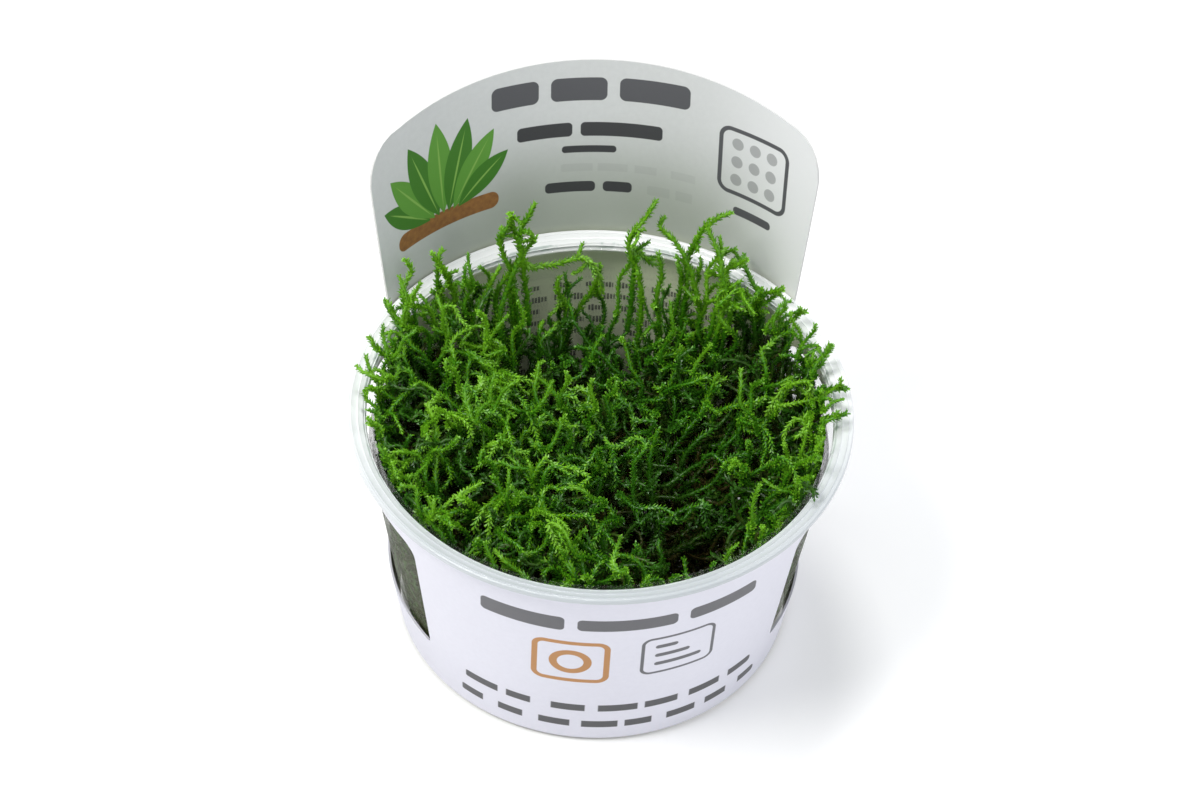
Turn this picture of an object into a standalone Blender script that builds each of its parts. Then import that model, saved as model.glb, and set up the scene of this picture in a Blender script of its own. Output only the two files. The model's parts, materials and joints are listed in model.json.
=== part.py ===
"""A flame moss tissue culture cup: a clear tapered cup in a cut card sleeve, filled with clumps of moss.

The origin is the centre of the cup's underside. The front of the card faces -Y, and its tall back
panel stands at +Y. An azimuth is in degrees from +Y round towards +X.
"""

import math
import random

import bmesh
import bpy
from mathutils import Vector, noise

MM = 0.001

# The cup, turned about +Z.
CUP_HEIGHT = 55.5 * MM
RIM_RADIUS = 50.0 * MM
RIM_WIDTH = 3.3 * MM
RIM_RISE = 0.75 * MM
LIP_DROP = 1.15 * MM
LIP_THICKNESS = 0.6 * MM
LEDGE_DEPTH = 0.4 * MM
WALL = 0.8 * MM
NECK_RADIUS = 45.9 * MM
STEP_HEIGHT = 45.0 * MM
STEP_DEPTH = 0.3 * MM
FOOT_RADIUS = 39.9 * MM
FOOT_ROUND = 2.0 * MM
CUP_SEGMENTS = 60

# The card sleeve: a cone under the rim in front, which opens wider at the back to pass outside the rim.
CARD_THICKNESS = 0.45 * MM
CARD_BOTTOM = 1.0 * MM
CARD_BAND_TOP = 53.3 * MM
CARD_FOOT_RADIUS = 40.67 * MM
CARD_FRONT_TAPER = 0.13
CARD_BACK_TAPER = 0.195
CARD_TURN_IN = (56.0, 122.0)
CARD_STEP_ANGLE = 6
PANEL_TOP = 94.3 * MM
PANEL_SAG = 2.8 * MM
PANEL_SAG_ANGLE = 36.0
PANEL_CORNER = 10.5 * MM
PANEL_HALF_ANGLE = 52.5
PANEL_WIDENING = 0.044

# The window on each side of the sleeve, as seen from the side: its ends and its corners' roundings at its
# foot and at its top.
WINDOW_BOTTOM = 12.9 * MM
WINDOW_TOP = 45.2 * MM
WINDOW_FRONT_Y = (-24.8 * MM, -27.6 * MM)
WINDOW_BACK_Y = (24.0 * MM, 27.0 * MM)
WINDOW_CORNERS = (1.0 * MM, 3.2 * MM)

# The moss: mounds of old growth that share out the cup's inside, and the main shoots that rise from them.
FLOOR_GAP = 0.4 * MM
WALL_GAP = 0.6 * MM
CELL_GAP = 1.5
CENTRE_RADIUS = 12.2 * MM
RING_RADIUS = 13.4 * MM
MOUND_CUTS = 3
MOUND_DROP = 4.5 * MM
EDGE_FALL = 2.5 * MM
LUMP_HEIGHT = 2.5 * MM
LUMPS = 2.7
SHOOT_SIDES = 5
SHOOT_STATIONS = (0.0, 0.18, 0.36, 0.54, 0.72, 0.88, 0.97, 1.0)
SHOOT_CURL = 7.0
SHOOT_RADII = (1.5 * MM, 1.0 * MM)
ROOT_DEPTH = 5.0 * MM
ROOT_REACH = 0.9
ROOT_SPREAD = 0.75
SHOOT_WAVE = 1.9 * MM
CENTRE_WAVE = 0.8 * MM
CELL_TWIST = 7.0
CELL_TWIST_LENGTH = 7.0 * MM
RIM_CLEAR_HEIGHT = 57.5 * MM

# How high the leafy growth reaches over places of the cup, as x, y and height in mm: up to the rim along
# the left and right walls, and low in the hollow at the front right and in front of the back panel.
GROWTH = [
    (-44, 0, 58), (-42, 18, 60), (-41, -18, 56), (-30, 0, 54), (-22, 12, 50), (-20, -12, 51), (-30, -28, 52),
    (-12, -32, 50), (-10, -20, 49), (0, -42, 50), (0, -31, 49), (9, -41, 42), (18, -37, 28), (28, -31, 26),
    (36, -23, 32), (41, -14, 52), (45, 0, 59), (43, 16, 60), (34, 28, 57), (20, 34, 46), (8, 40, 30), (-6, 42, 27),
    (-16, 40, 33), (-27, 35, 53), (0, 30, 37), (-12, 26, 44), (2, 18, 37), (12, 20, 42), (-8, 8, 46), (4, 2, 44),
    (13, 6, 34), (16, -8, 24), (20, -20, 22), (28, -8, 28), (8, -24, 36), (33, 8, 48), (-14, 18, 45), (-30, 24, 56),
    (36, -2, 46),
]
GROWTH_FALL = 1.8
GROWTH_BLEND = 6.0

# Each clump's first and last azimuth, and the tips of its main shoots as azimuth, distance from the
# axis in mm and height in mm.
CLUMPS = {
    "moss_back": (-22.5, 22.5, [(-16, 41, 74), (-9, 36, 58), (2, 39, 55), (11, 37, 61), (18, 41, 75), (3, 22, 52)]),
    "moss_back_right": (
        22.5, 67.5,
        [(27, 40, 69), (38, 40, 78), (45, 42, 70), (55, 42, 66), (62, 43, 64), (35, 28, 60), (55, 27, 56)],
    ),
    "moss_right": (
        67.5, 112.5,
        [(72, 45, 63), (80, 46, 63), (89, 47, 61), (98, 47, 60), (107, 45, 59), (82, 32, 58), (100, 30, 50)],
    ),
    "moss_front_right": (112.5, 157.5, [(117, 42, 53), (127, 41, 50), (138, 41, 46), (150, 41, 48), (116, 36, 40)]),
    "moss_front": (
        157.5, 202.5,
        [(162, 41, 50), (170, 42, 52), (178, 41, 53), (187, 42, 53), (197, 41, 52), (170, 31, 49), (190, 30, 52)],
    ),
    "moss_front_left": (
        202.5, 247.5,
        [(208, 42, 52), (217, 41, 54), (226, 42, 54), (235, 41, 55), (243, 42, 57), (218, 30, 57), (236, 28, 60)],
    ),
    "moss_left": (
        247.5, 292.5,
        [(253, 45, 59), (262, 46, 60), (271, 46, 60), (280, 46, 62), (287, 44, 65), (262, 32, 61), (280, 30, 64)],
    ),
    "moss_back_left": (
        292.5, 337.5,
        [(297, 43, 72), (304, 43, 73), (313, 42, 71), (322, 40, 69), (332, 40, 66), (307, 29, 65), (326, 28, 60)],
    ),
    "moss_centre": (0, 360, [(20, 8, 54), (100, 8, 44), (185, 8, 50), (245, 8, 57), (300, 8, 61), (345, 4, 58)]),
}


def clear_scene():
    for item in list(bpy.data.objects):
        bpy.data.objects.remove(item, do_unlink=True)


def material(name, colour, roughness, alpha=1.0):
    made = bpy.data.materials.new(name)
    made.use_nodes = True
    shader = made.node_tree.nodes["Principled BSDF"]
    shader.inputs["Base Color"].default_value = (*colour, 1.0)
    shader.inputs["Roughness"].default_value = roughness
    shader.inputs["Metallic"].default_value = 0.0
    shader.inputs["Alpha"].default_value = alpha
    return made


def add_object(name, bm, finish, smooth=True):
    """The bmesh as an object, facing outwards."""
    bmesh.ops.recalc_face_normals(bm, faces=bm.faces)
    mesh = bpy.data.meshes.new(name)
    bm.to_mesh(mesh)
    bm.free()
    if smooth:
        mesh.shade_smooth()
        mesh.set_sharp_from_angle(angle=math.radians(35))
    made = bpy.data.objects.new(name, mesh)
    bpy.context.collection.objects.link(made)
    if finish:
        mesh.materials.append(finish)
    return made


def add_helper(name, bm):
    """An object that only cuts or joins, and isn't a piece itself."""
    made = add_object(name, bm, None, smooth=False)
    made.hide_render = True
    made.display_type = "WIRE"
    return made


def add_boolean(target, other, operation, own_crossings=False):
    made = target.modifiers.new(operation.lower(), "BOOLEAN")
    made.operation = operation
    made.solver = "EXACT"
    made.use_self = own_crossings
    made.object = other


def mix(first, last, share):
    return first + (last - first) * share


def smooth_step(value, start, end):
    share = min(1.0, max(0.0, (value - start) / (end - start)))
    return share * share * (3 - 2 * share)


def polar(azimuth, radius, height):
    turn = math.radians(azimuth)
    return Vector((radius * math.sin(turn), radius * math.cos(turn), height))


def arc(centre_r, centre_z, radius, start, end, steps):
    """Profile points on an arc, its angles in degrees from the direction straight out."""
    turns = [math.radians(mix(start, end, i / steps)) for i in range(steps + 1)]
    return [(centre_r + radius * math.cos(turn), centre_z + radius * math.sin(turn)) for turn in turns]


def cup_profile():
    """The cup's section from the middle of its underside, over the rim, to the middle of its floor."""
    lip_bottom = CUP_HEIGHT - LIP_DROP
    lip_inside = RIM_RADIUS - LIP_THICKNESS
    rim_inside = RIM_RADIUS - RIM_WIDTH
    rim_low = CUP_HEIGHT - RIM_RISE
    ledge = rim_low - LEDGE_DEPTH
    neck_inside = NECK_RADIUS - WALL
    shoulder = NECK_RADIUS - STEP_DEPTH
    floor_round = FOOT_ROUND - WALL / 2
    floor_radius = FOOT_RADIUS - WALL
    outside = [(0.0, 0.0)]
    outside += arc(FOOT_RADIUS - FOOT_ROUND, FOOT_ROUND, FOOT_ROUND, -90, -8, 3)
    outside += [
        (shoulder, STEP_HEIGHT),
        (NECK_RADIUS, STEP_HEIGHT + WALL),
        (NECK_RADIUS, ledge - 2 * WALL),
        (NECK_RADIUS + WALL / 2, ledge - WALL),
        (lip_inside, lip_bottom + LEDGE_DEPTH),
        (lip_inside, lip_bottom),
        (RIM_RADIUS, lip_bottom),
        (RIM_RADIUS, CUP_HEIGHT - LEDGE_DEPTH),
        (RIM_RADIUS - LEDGE_DEPTH, CUP_HEIGHT),
    ]
    inside = [
        (rim_inside, rim_low),
        (rim_inside - LEDGE_DEPTH / 2, ledge),
        (neck_inside + LEDGE_DEPTH / 2, ledge),
        (neck_inside, ledge - LEDGE_DEPTH / 2),
        (neck_inside, STEP_HEIGHT + WALL),
        (shoulder - WALL, STEP_HEIGHT),
    ]
    inside += arc(floor_radius - floor_round, WALL + floor_round, floor_round, -8, -90, 3)
    inside.append((0.0, WALL))
    return outside + inside


def add_cup():
    bm = bmesh.new()
    points = [bm.verts.new((r, 0.0, z)) for r, z in cup_profile()]
    edges = [bm.edges.new(pair) for pair in zip(points, points[1:])]
    bmesh.ops.spin(
        bm, geom=points + edges, cent=(0, 0, 0), axis=(0, 0, 1), angle=2 * math.pi, steps=CUP_SEGMENTS, use_merge=True
    )
    bmesh.ops.remove_doubles(bm, verts=bm.verts, dist=0.001 * MM)
    add_object("cup", bm, material("clear_plastic", (0.85, 0.9, 0.87), 0.08, alpha=0.35))


def wall_radius(height):
    """The cup's inner wall, tapered up to the step and straight above it."""
    share = (height - FOOT_ROUND) / (STEP_HEIGHT - FOOT_ROUND)
    return mix(FOOT_RADIUS, NECK_RADIUS - STEP_DEPTH, min(1.0, share)) - WALL


def card_radius(azimuth, height):
    """The card's outer face: straight from foot to top, and opening wider at the back."""
    taper = mix(CARD_BACK_TAPER, CARD_FRONT_TAPER, smooth_step(abs(azimuth), *CARD_TURN_IN))
    return CARD_FOOT_RADIUS + taper * (height - CARD_BOTTOM)


def panel_top(azimuth):
    """The panel's top edge: a shallow arch that ends in a quarter circle at each corner."""
    corner_angle = math.degrees(PANEL_CORNER / card_radius(0, PANEL_TOP))
    corner_start = PANEL_HALF_ANGLE - corner_angle
    arch = PANEL_TOP - PANEL_SAG * (min(abs(azimuth), corner_start) / PANEL_SAG_ANGLE) ** 2
    share = max(0.0, abs(azimuth) - corner_start) / corner_angle
    return arch - PANEL_CORNER * (1 - math.sqrt(max(0.0, 1 - share * share)))


def panel_angle(azimuth, height):
    """The panel widens a little from its corners down."""
    below = max(0.0, panel_top(PANEL_HALF_ANGLE) - max(height, CARD_BAND_TOP))
    span = panel_top(PANEL_HALF_ANGLE) - CARD_BAND_TOP
    return azimuth * (1 + PANEL_WIDENING * below / span)


def card_columns():
    """Azimuths of the card's columns, closer together at the panel's corners."""
    half = list(range(0, 43, CARD_STEP_ANGLE)) + [45, 48, 50.3, 51.8, PANEL_HALF_ANGLE]
    half += range(60, 181, CARD_STEP_ANGLE)
    return [-a for a in reversed(half[1:])] + half


def card_rows(azimuth):
    """Heights up one column of the card, with the panel's rows only where the panel is."""
    band = [CARD_BOTTOM, WINDOW_BOTTOM, mix(WINDOW_BOTTOM, WINDOW_TOP, 0.5), WINDOW_TOP, CARD_BAND_TOP]
    if abs(azimuth) > PANEL_HALF_ANGLE:
        return band
    return band + [mix(CARD_BAND_TOP, panel_top(azimuth), (i + 1) / 4) for i in range(4)]


def add_sleeve():
    bm = bmesh.new()
    columns = []
    for azimuth in card_columns():
        rows = card_rows(azimuth)
        in_panel = abs(azimuth) <= PANEL_HALF_ANGLE
        angles = [panel_angle(azimuth, z) if in_panel else azimuth for z in rows]
        columns.append([bm.verts.new(polar(a, card_radius(a, z), z)) for a, z in zip(angles, rows)])
    for left, right in zip(columns, columns[1:]):
        for i in range(min(len(left), len(right)) - 1):
            bm.faces.new((left[i], left[i + 1], right[i + 1], right[i]))
    bmesh.ops.remove_doubles(bm, verts=bm.verts, dist=0.001 * MM)
    sleeve = add_object("card_sleeve", bm, material("card", (0.78, 0.8, 0.84), 0.55))
    shell = sleeve.modifiers.new("thickness", "SOLIDIFY")
    shell.thickness = CARD_THICKNESS
    shell.offset = -1.0
    shell.use_even_offset = True
    add_boolean(sleeve, add_window_cutter(), "DIFFERENCE")


def add_window_cutter():
    """One prism through both sides: the outline of a window as seen from the side, its corners rounded."""
    bm = bmesh.new()
    corners = [
        (WINDOW_FRONT_Y[0], WINDOW_BOTTOM),
        (WINDOW_FRONT_Y[1], WINDOW_TOP),
        (WINDOW_BACK_Y[1], WINDOW_TOP),
        (WINDOW_BACK_Y[0], WINDOW_BOTTOM),
    ]
    reach = 1.2 * RIM_RADIUS
    outline = bm.faces.new([bm.verts.new((-reach, y, z)) for y, z in corners])
    grown = bmesh.ops.extrude_face_region(bm, geom=[outline])["geom"]
    moved = [item for item in grown if isinstance(item, bmesh.types.BMVert)]
    bmesh.ops.translate(bm, verts=moved, vec=(2 * reach, 0, 0))
    middle = mix(WINDOW_BOTTOM, WINDOW_TOP, 0.5)
    for at_top, corner in enumerate(WINDOW_CORNERS):
        long_edges = [e for e in bm.edges if abs(e.verts[0].co.x - e.verts[1].co.x) > reach]
        rounded = [e for e in long_edges if (e.verts[0].co.z > middle) == bool(at_top)]
        bmesh.ops.bevel(bm, geom=rounded, offset=corner, segments=2 + 2 * at_top, profile=0.5, affect="EDGES")
    return add_helper("window_cutter", bm)


def is_round(clump):
    """Whether a clump is the round one in the middle, which has no neighbours beside it in azimuth."""
    return clump[1] - clump[0] == 360


def growth_height(place):
    """How high the leafy growth reaches over a place: a mean of GROWTH in which near places count most."""
    weights = [
        ((place.x / MM - x) ** 2 + (place.y / MM - y) ** 2 + GROWTH_BLEND) ** -GROWTH_FALL for x, y, _ in GROWTH
    ]
    return MM * sum(weight * height for weight, (_, _, height) in zip(weights, GROWTH)) / sum(weights)


def mound_place(clump, u, v, w):
    """A point of a mound, from its shares across, outwards and up, each from 0 to 1."""
    first, last, _ = clump
    x, y = 2 * u - 1, 2 * v - 1
    if is_round(clump):
        above = Vector((x * math.sqrt(1 - y * y / 2), y * math.sqrt(1 - x * x / 2), 0)) * CENTRE_RADIUS
    else:
        above = polar(mix(first, last, u), mix(RING_RADIUS, NECK_RADIUS - WALL, v), 0)
    bump = LUMP_HEIGHT * noise.noise(Vector((LUMPS * u + first, LUMPS * v, last)))
    top = growth_height(above) - MOUND_DROP + bump - EDGE_FALL * (x ** 4 + y ** 4) / 2
    z = mix(WALL + FLOOR_GAP, top, w)
    if is_round(clump):
        return Vector((above.x, above.y, z))
    outer = wall_radius(z) - WALL_GAP - WALL_GAP * max(0.0, 1 - (z - WALL) / FOOT_ROUND)
    radius = mix(RING_RADIUS, outer, v)
    twist = CELL_TWIST * math.sin((radius - RING_RADIUS) / CELL_TWIST_LENGTH)
    return polar(mix(first + CELL_GAP, last - CELL_GAP, u) + twist, radius, z)


def add_mound(name, clump, finish):
    bm = bmesh.new()
    bmesh.ops.create_cube(bm, size=1.0)
    bmesh.ops.subdivide_edges(bm, edges=bm.edges, cuts=MOUND_CUTS, use_grid_fill=True)
    for vert in bm.verts:
        vert.co = mound_place(clump, *(vert.co + Vector((0.5, 0.5, 0.5))))
    return add_object(name, bm, finish)


def shoot_path(rng, clump, tip):
    """A wavy line from inside the mound up to the tip, which leans out only above the rim."""
    first, last, _ = clump
    azimuth, radius, tip_height = tip
    end = polar(azimuth, radius * MM, tip_height * MM)
    root_azimuth = azimuth if is_round(clump) else mix((first + last) / 2, azimuth, ROOT_SPREAD)
    root = polar(root_azimuth, ROOT_REACH * radius * MM, 0)
    root.z = growth_height(root) - MOUND_DROP - ROOT_DEPTH
    phase = rng.uniform(0, 2 * math.pi)
    wave = CENTRE_WAVE if is_round(clump) else SHOOT_WAVE
    points = []
    for t in SHOOT_STATIONS:
        place = root.lerp(end, t)
        turn = SHOOT_CURL * t + phase
        place += Vector((math.sin(turn), math.cos(0.8 * turn), 0)) * wave * math.sin(math.pi * t)
        limit = wall_radius(place.z) - WALL_GAP - SHOOT_RADII[0]
        reach = math.hypot(place.x, place.y)
        if place.z < RIM_CLEAR_HEIGHT + SHOOT_RADII[0] and reach > limit:
            place.xy *= limit / reach
        points.append(place)
    return points


def add_tube(bm, points, across):
    """A tapered closed tube along the points, its rings turned against the direction across it."""
    rings = []
    for i, point in enumerate(points[:-1]):
        before = points[max(0, i - 1)]
        along = (points[i + 1] - before).normalized()
        side = along.cross(across).normalized()
        other = along.cross(side)
        radius = mix(SHOOT_RADII[0], SHOOT_RADII[1], i / (len(points) - 1))
        turns = [2 * math.pi * k / SHOOT_SIDES for k in range(SHOOT_SIDES)]
        rings.append([bm.verts.new(point + radius * (side * math.cos(a) + other * math.sin(a))) for a in turns])
    for low, high in zip(rings, rings[1:]):
        for k in range(SHOOT_SIDES):
            after = (k + 1) % SHOOT_SIDES
            bm.faces.new((low[k], low[after], high[after], high[k]))
    bm.faces.new(rings[0])
    tip = bm.verts.new(points[-1])
    for k in range(SHOOT_SIDES):
        bm.faces.new((rings[-1][k], rings[-1][(k + 1) % SHOOT_SIDES], tip))


def add_clump(name, clump, finish):
    mound = add_mound(name, clump, finish)
    rng = random.Random(name)
    bm = bmesh.new()
    for tip in clump[2]:
        across = polar(tip[0] + 90, 1.0, 0.0)
        add_tube(bm, shoot_path(rng, clump, tip), across)
    add_boolean(mound, add_helper(name + "_shoots", bm), "UNION", own_crossings=True)


def main():
    clear_scene()
    add_cup()
    add_sleeve()
    moss = material("moss_green", (0.1, 0.24, 0.02), 0.5)
    for name, clump in CLUMPS.items():
        add_clump(name, clump, moss)


main()
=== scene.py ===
# %% [markdown]
# # A flame moss culture cup
#
# The object is a clear tapered cup that stands in a white card sleeve and is full of living moss. This
# lesson dresses its plain solids, which come ready made as a fixed frame: nothing in the frame is moved,
# and each new piece is modelled in the frame's own place, in metres.

# %% Load the frame
import json
import math
import random

import bpy
import numpy as np
from mathutils import Matrix, Quaternion, Vector

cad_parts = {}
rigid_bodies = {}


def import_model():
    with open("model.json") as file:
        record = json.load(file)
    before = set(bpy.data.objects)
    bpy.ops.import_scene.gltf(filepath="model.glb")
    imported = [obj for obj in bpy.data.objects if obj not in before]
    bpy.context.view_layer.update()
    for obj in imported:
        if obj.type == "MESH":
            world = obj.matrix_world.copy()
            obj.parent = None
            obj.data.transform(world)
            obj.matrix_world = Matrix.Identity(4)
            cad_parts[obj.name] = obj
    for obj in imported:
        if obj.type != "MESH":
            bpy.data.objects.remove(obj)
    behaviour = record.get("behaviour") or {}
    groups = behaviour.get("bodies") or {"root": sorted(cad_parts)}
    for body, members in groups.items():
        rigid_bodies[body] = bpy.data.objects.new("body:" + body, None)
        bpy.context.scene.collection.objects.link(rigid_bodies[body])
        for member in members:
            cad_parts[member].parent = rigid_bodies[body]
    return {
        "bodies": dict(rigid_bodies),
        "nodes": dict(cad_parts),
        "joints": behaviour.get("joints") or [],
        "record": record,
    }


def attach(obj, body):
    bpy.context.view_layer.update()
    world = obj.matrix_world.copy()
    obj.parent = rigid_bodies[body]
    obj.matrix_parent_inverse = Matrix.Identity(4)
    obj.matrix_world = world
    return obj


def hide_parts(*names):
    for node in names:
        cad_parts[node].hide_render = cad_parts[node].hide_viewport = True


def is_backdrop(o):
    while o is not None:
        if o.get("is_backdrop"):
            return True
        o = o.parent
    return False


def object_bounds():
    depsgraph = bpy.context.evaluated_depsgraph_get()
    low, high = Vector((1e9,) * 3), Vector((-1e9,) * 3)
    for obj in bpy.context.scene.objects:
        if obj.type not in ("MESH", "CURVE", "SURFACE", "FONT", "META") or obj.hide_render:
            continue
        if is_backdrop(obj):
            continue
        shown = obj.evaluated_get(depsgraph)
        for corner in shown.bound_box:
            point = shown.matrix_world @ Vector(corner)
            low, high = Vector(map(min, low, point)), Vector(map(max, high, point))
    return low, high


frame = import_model()
cad_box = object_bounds()
MM = 0.001
print("frame:", sorted(frame["nodes"]))

# %% [markdown]
# A few helpers are used all through. Everything is deselected before a new primitive is added, because an
# operator acts on all that is selected. `polar` places a point round the cup: an azimuth is in degrees from
# +Y, the back of the sleeve, round towards +X.

# %% Helpers for places and selections


def deselect_all():
    if bpy.context.object and bpy.context.object.mode != "OBJECT":
        bpy.ops.object.mode_set(mode="OBJECT")
    bpy.ops.object.select_all(action="DESELECT")


def make_active(piece, *others):
    """Selects only these objects, and makes the first of them the active one."""
    deselect_all()
    for each in (piece, *others):
        each.select_set(True)
    bpy.context.view_layer.objects.active = piece


def edit_mesh(action="SELECT"):
    """Goes into edit mode, with all of the active mesh selected or none of it."""
    bpy.ops.object.mode_set(mode="EDIT")
    bpy.ops.mesh.select_all(action=action)


def finish_mesh():
    """Turns the selected faces outwards and leaves edit mode."""
    bpy.ops.mesh.normals_make_consistent(inside=False)
    bpy.ops.object.mode_set(mode="OBJECT")


def mix(first, last, share):
    return first + (last - first) * share


def smooth_step(value, start, end):
    share = min(1.0, max(0.0, (value - start) / (end - start)))
    return share * share * (3 - 2 * share)


def polar(azimuth, radius, height):
    turn = math.radians(azimuth)
    return Vector((radius * math.sin(turn), radius * math.cos(turn), height))


# %% [markdown]
# The camera looks down at about 47 degrees, from a little to the left of the front, through a long lens.
# Its place comes from the outlines of the round rim and the foot: an ellipse's width and height give the
# angle, and how much the far side shrinks gives the distance. The roll is a real one of the hand-held
# camera.

# %% Camera
LENS = 90.0
SENSOR = 36.0
CAMERA_AIM = Vector((-0.15, 0.0, 56.8)) * MM
CAMERA_DISTANCE = 589.7 * MM
CAMERA_AZIMUTH = math.radians(-5)
CAMERA_ELEVATION = math.radians(46.79)
CAMERA_ROLL = math.radians(2.62)

flat = math.cos(CAMERA_ELEVATION)
level = Vector((math.cos(CAMERA_AZIMUTH), math.sin(CAMERA_AZIMUTH), 0))
back = Vector((level.y * flat, -level.x * flat, math.sin(CAMERA_ELEVATION)))
roll = Quaternion(back, CAMERA_ROLL)
across = roll @ level
upwards = roll @ back.cross(level)
camera_data = bpy.data.cameras.new("camera")
camera_data.lens = LENS
camera_data.sensor_width = SENSOR
camera = bpy.data.objects.new("camera", camera_data)
bpy.context.scene.collection.objects.link(camera)
camera.matrix_world = Matrix.Translation(CAMERA_AIM + back * CAMERA_DISTANCE) @ (
    Matrix((across, upwards, back)).transposed().to_4x4()
)
bpy.context.scene.camera = camera
print("camera at", [round(v, 3) for v in camera.matrix_world.translation])

# %% [markdown]
# The studio is a plain pale floor under soft boxes. The key light hangs at the upper left and gives the
# moss its lit tips, and a weaker one fills from the right. A small bright one overhead, a little behind,
# lights the back of the rim, whose white highlight is painted into the rim's colour. The front light stands
# low, so it lights the front of the card but not the tall panel, which the moss shades.

# %% Floor and lights
FLOOR_SIZE = 6.0
WORLD_LIGHT = (0.92, 0.96, 1.0)
WORLD_STRENGTH = 0.42
LIGHTS = {
    "key": ((-0.50, -0.15, 0.80), 0.42, 5.6, (1.0, 0.99, 0.95)),
    "fill": ((0.75, -0.25, 0.60), 0.6, 2.5, (0.97, 0.98, 1.0)),
    "overhead": ((-0.03, 0.30, 0.85), 0.24, 3.0, (1.0, 1.0, 1.0)),
    "front": ((-0.10, -0.85, 0.16), 0.5, 0.7, (0.94, 0.96, 1.0)),
}
LIGHT_AIM = Vector((0, 0, 40)) * MM

deselect_all()
bpy.ops.mesh.primitive_plane_add(size=FLOOR_SIZE, location=(0, 0, 0))
floor = bpy.context.object
floor.name = "floor"
for name, (place, size, power, tint) in LIGHTS.items():
    bpy.ops.object.light_add(type="AREA", location=place)
    light = bpy.context.object
    light.name = name
    light.data.shape = "DISK"
    light.data.size = size
    light.data.energy = power
    light.data.color = tint
    light.rotation_euler = (LIGHT_AIM - light.location).to_track_quat("-Z", "Y").to_euler()
world = bpy.data.worlds.new("studio")
world.use_nodes = True
world.node_tree.nodes["Background"].inputs["Color"].default_value = (*WORLD_LIGHT, 1)
world.node_tree.nodes["Background"].inputs["Strength"].default_value = WORLD_STRENGTH
bpy.context.scene.world = world
bpy.context.scene.view_settings.view_transform = "Standard"
floor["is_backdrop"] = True
print("lights:", sorted(LIGHTS))

# %% [markdown]
# Finishes are written as sums. `Wire` holds one output of a material, and Python's own operators on it add
# the Math nodes, so a stripe or a spot reads as a formula. Any other node comes from the one method `node`,
# which sets the node's settings first and then its inputs.

# %% The class that writes materials


class Wire:
    """One output of a material's nodes, on which sums can be written."""

    def __init__(self, tree, socket=None):
        self.tree = tree
        self.socket = socket

    def node(self, kind, inputs=None, output=0, stops=None, **settings):
        made = self.tree.nodes.new(kind)
        for name, value in settings.items():
            setattr(made, name, value)
        if stops:
            ramp = made.color_ramp
            for place, colour in stops[len(ramp.elements):]:
                ramp.elements.new(place)
            for element, (place, colour) in zip(ramp.elements, stops):
                element.position = place
                element.color = (*colour, 1)
        for key, value in (inputs or {}).items():
            if isinstance(value, Wire):
                self.tree.links.new(value.socket, made.inputs[key])
            else:
                made.inputs[key].default_value = value
        return Wire(self.tree, made.outputs[output])

    def sums(self, operation, *values):
        return self.node("ShaderNodeMath", dict(enumerate(values)), operation=operation)

    def __add__(self, other):
        return self.sums("ADD", self, other)

    def __sub__(self, other):
        return self.sums("SUBTRACT", self, other)

    def __rsub__(self, other):
        return self.sums("SUBTRACT", other, self)

    def __mul__(self, other):
        return self.sums("MULTIPLY", self, other)

    def __truediv__(self, other):
        return self.sums("DIVIDE", self, other)

    def __pow__(self, power):
        return self.sums("POWER", self, power)

    __radd__ = __add__
    __rmul__ = __mul__

    def size(self):
        return self.sums("ABSOLUTE", self)

    def lowest(self, other):
        return self.sums("MINIMUM", self, other)

    def highest(self, other):
        return self.sums("MAXIMUM", self, other)

    def rise(self, start, end):
        """0 below start and 1 above end, or the reverse where start is the larger."""
        return self.node("ShaderNodeMapRange", {0: self, 1: start, 2: end}, interpolation_type="SMOOTHSTEP")

    def paint(self, under, over):
        """The colour under, covered with the colour over where this mask is 1."""
        under, over = [value if isinstance(value, Wire) else (*value, 1) for value in (under, over)]
        return self.node("ShaderNodeMix", {0: self, 6: under, 7: over}, output=2, data_type="RGBA")

    def place(self):
        """The object's own coordinates."""
        return self.node("ShaderNodeTexCoord", output=3)

    def noise(self, place, scale, detail=2.0):
        return self.node("ShaderNodeTexNoise", {"Vector": place, "Scale": scale, "Detail": detail})

    def xyz(self):
        return [self.node("ShaderNodeSeparateXYZ", {0: self}, output=axis) for axis in range(3)]

    def floor(self):
        return self.sums("FLOOR", self)

    def draw(self):
        """A random number for each whole number."""
        return self.node("ShaderNodeTexWhiteNoise", {"W": self}, noise_dimensions="1D")


def new_finish(name, **values):
    """A material, its Principled shader with these values, and a wire to start sums from."""
    made = bpy.data.materials.new(name)
    made.use_nodes = True
    shader = made.node_tree.nodes["Principled BSDF"]
    for key, value in values.items():
        shader.inputs[key.replace("_", " ")].default_value = value
    return made, shader, Wire(made.node_tree)


def feed(wire, shader, name):
    wire.tree.links.new(wire.socket, shader.inputs[name])


def feed_bump(height, shader, distance, strength):
    """The wire as relief: distance is how far the surface rises, in metres, where the wire is 1."""
    bump = height.node("ShaderNodeBump", {"Height": height, "Distance": distance, "Strength": strength})
    feed(bump, shader, "Normal")


floor_finish, shader, wire = new_finish(
    "pale floor", Roughness=0.7, Emission_Strength=0.16, Emission_Color=(1.0, 0.99, 0.98, 1.0),
)
place = wire.place()
mottle = wire.noise(place, 3.0).rise(0.2, 0.8)
feed(mottle.paint((0.89, 0.89, 0.89), (0.91, 0.91, 0.91)), shader, "Base Color")
floor.data.materials.append(floor_finish)
print("first finish:", floor_finish.name)

# %% [markdown]
# The cup is one thin moulding: a flat floor, a tapered wall with a small step near the top, and a wide rim
# with a turned-down lip. A lathe shape like this could be spun from a profile. Here a ring is drawn out
# along the profile instead, one extrusion and one scaling for each point, because that keeps every ring
# closed.

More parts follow.
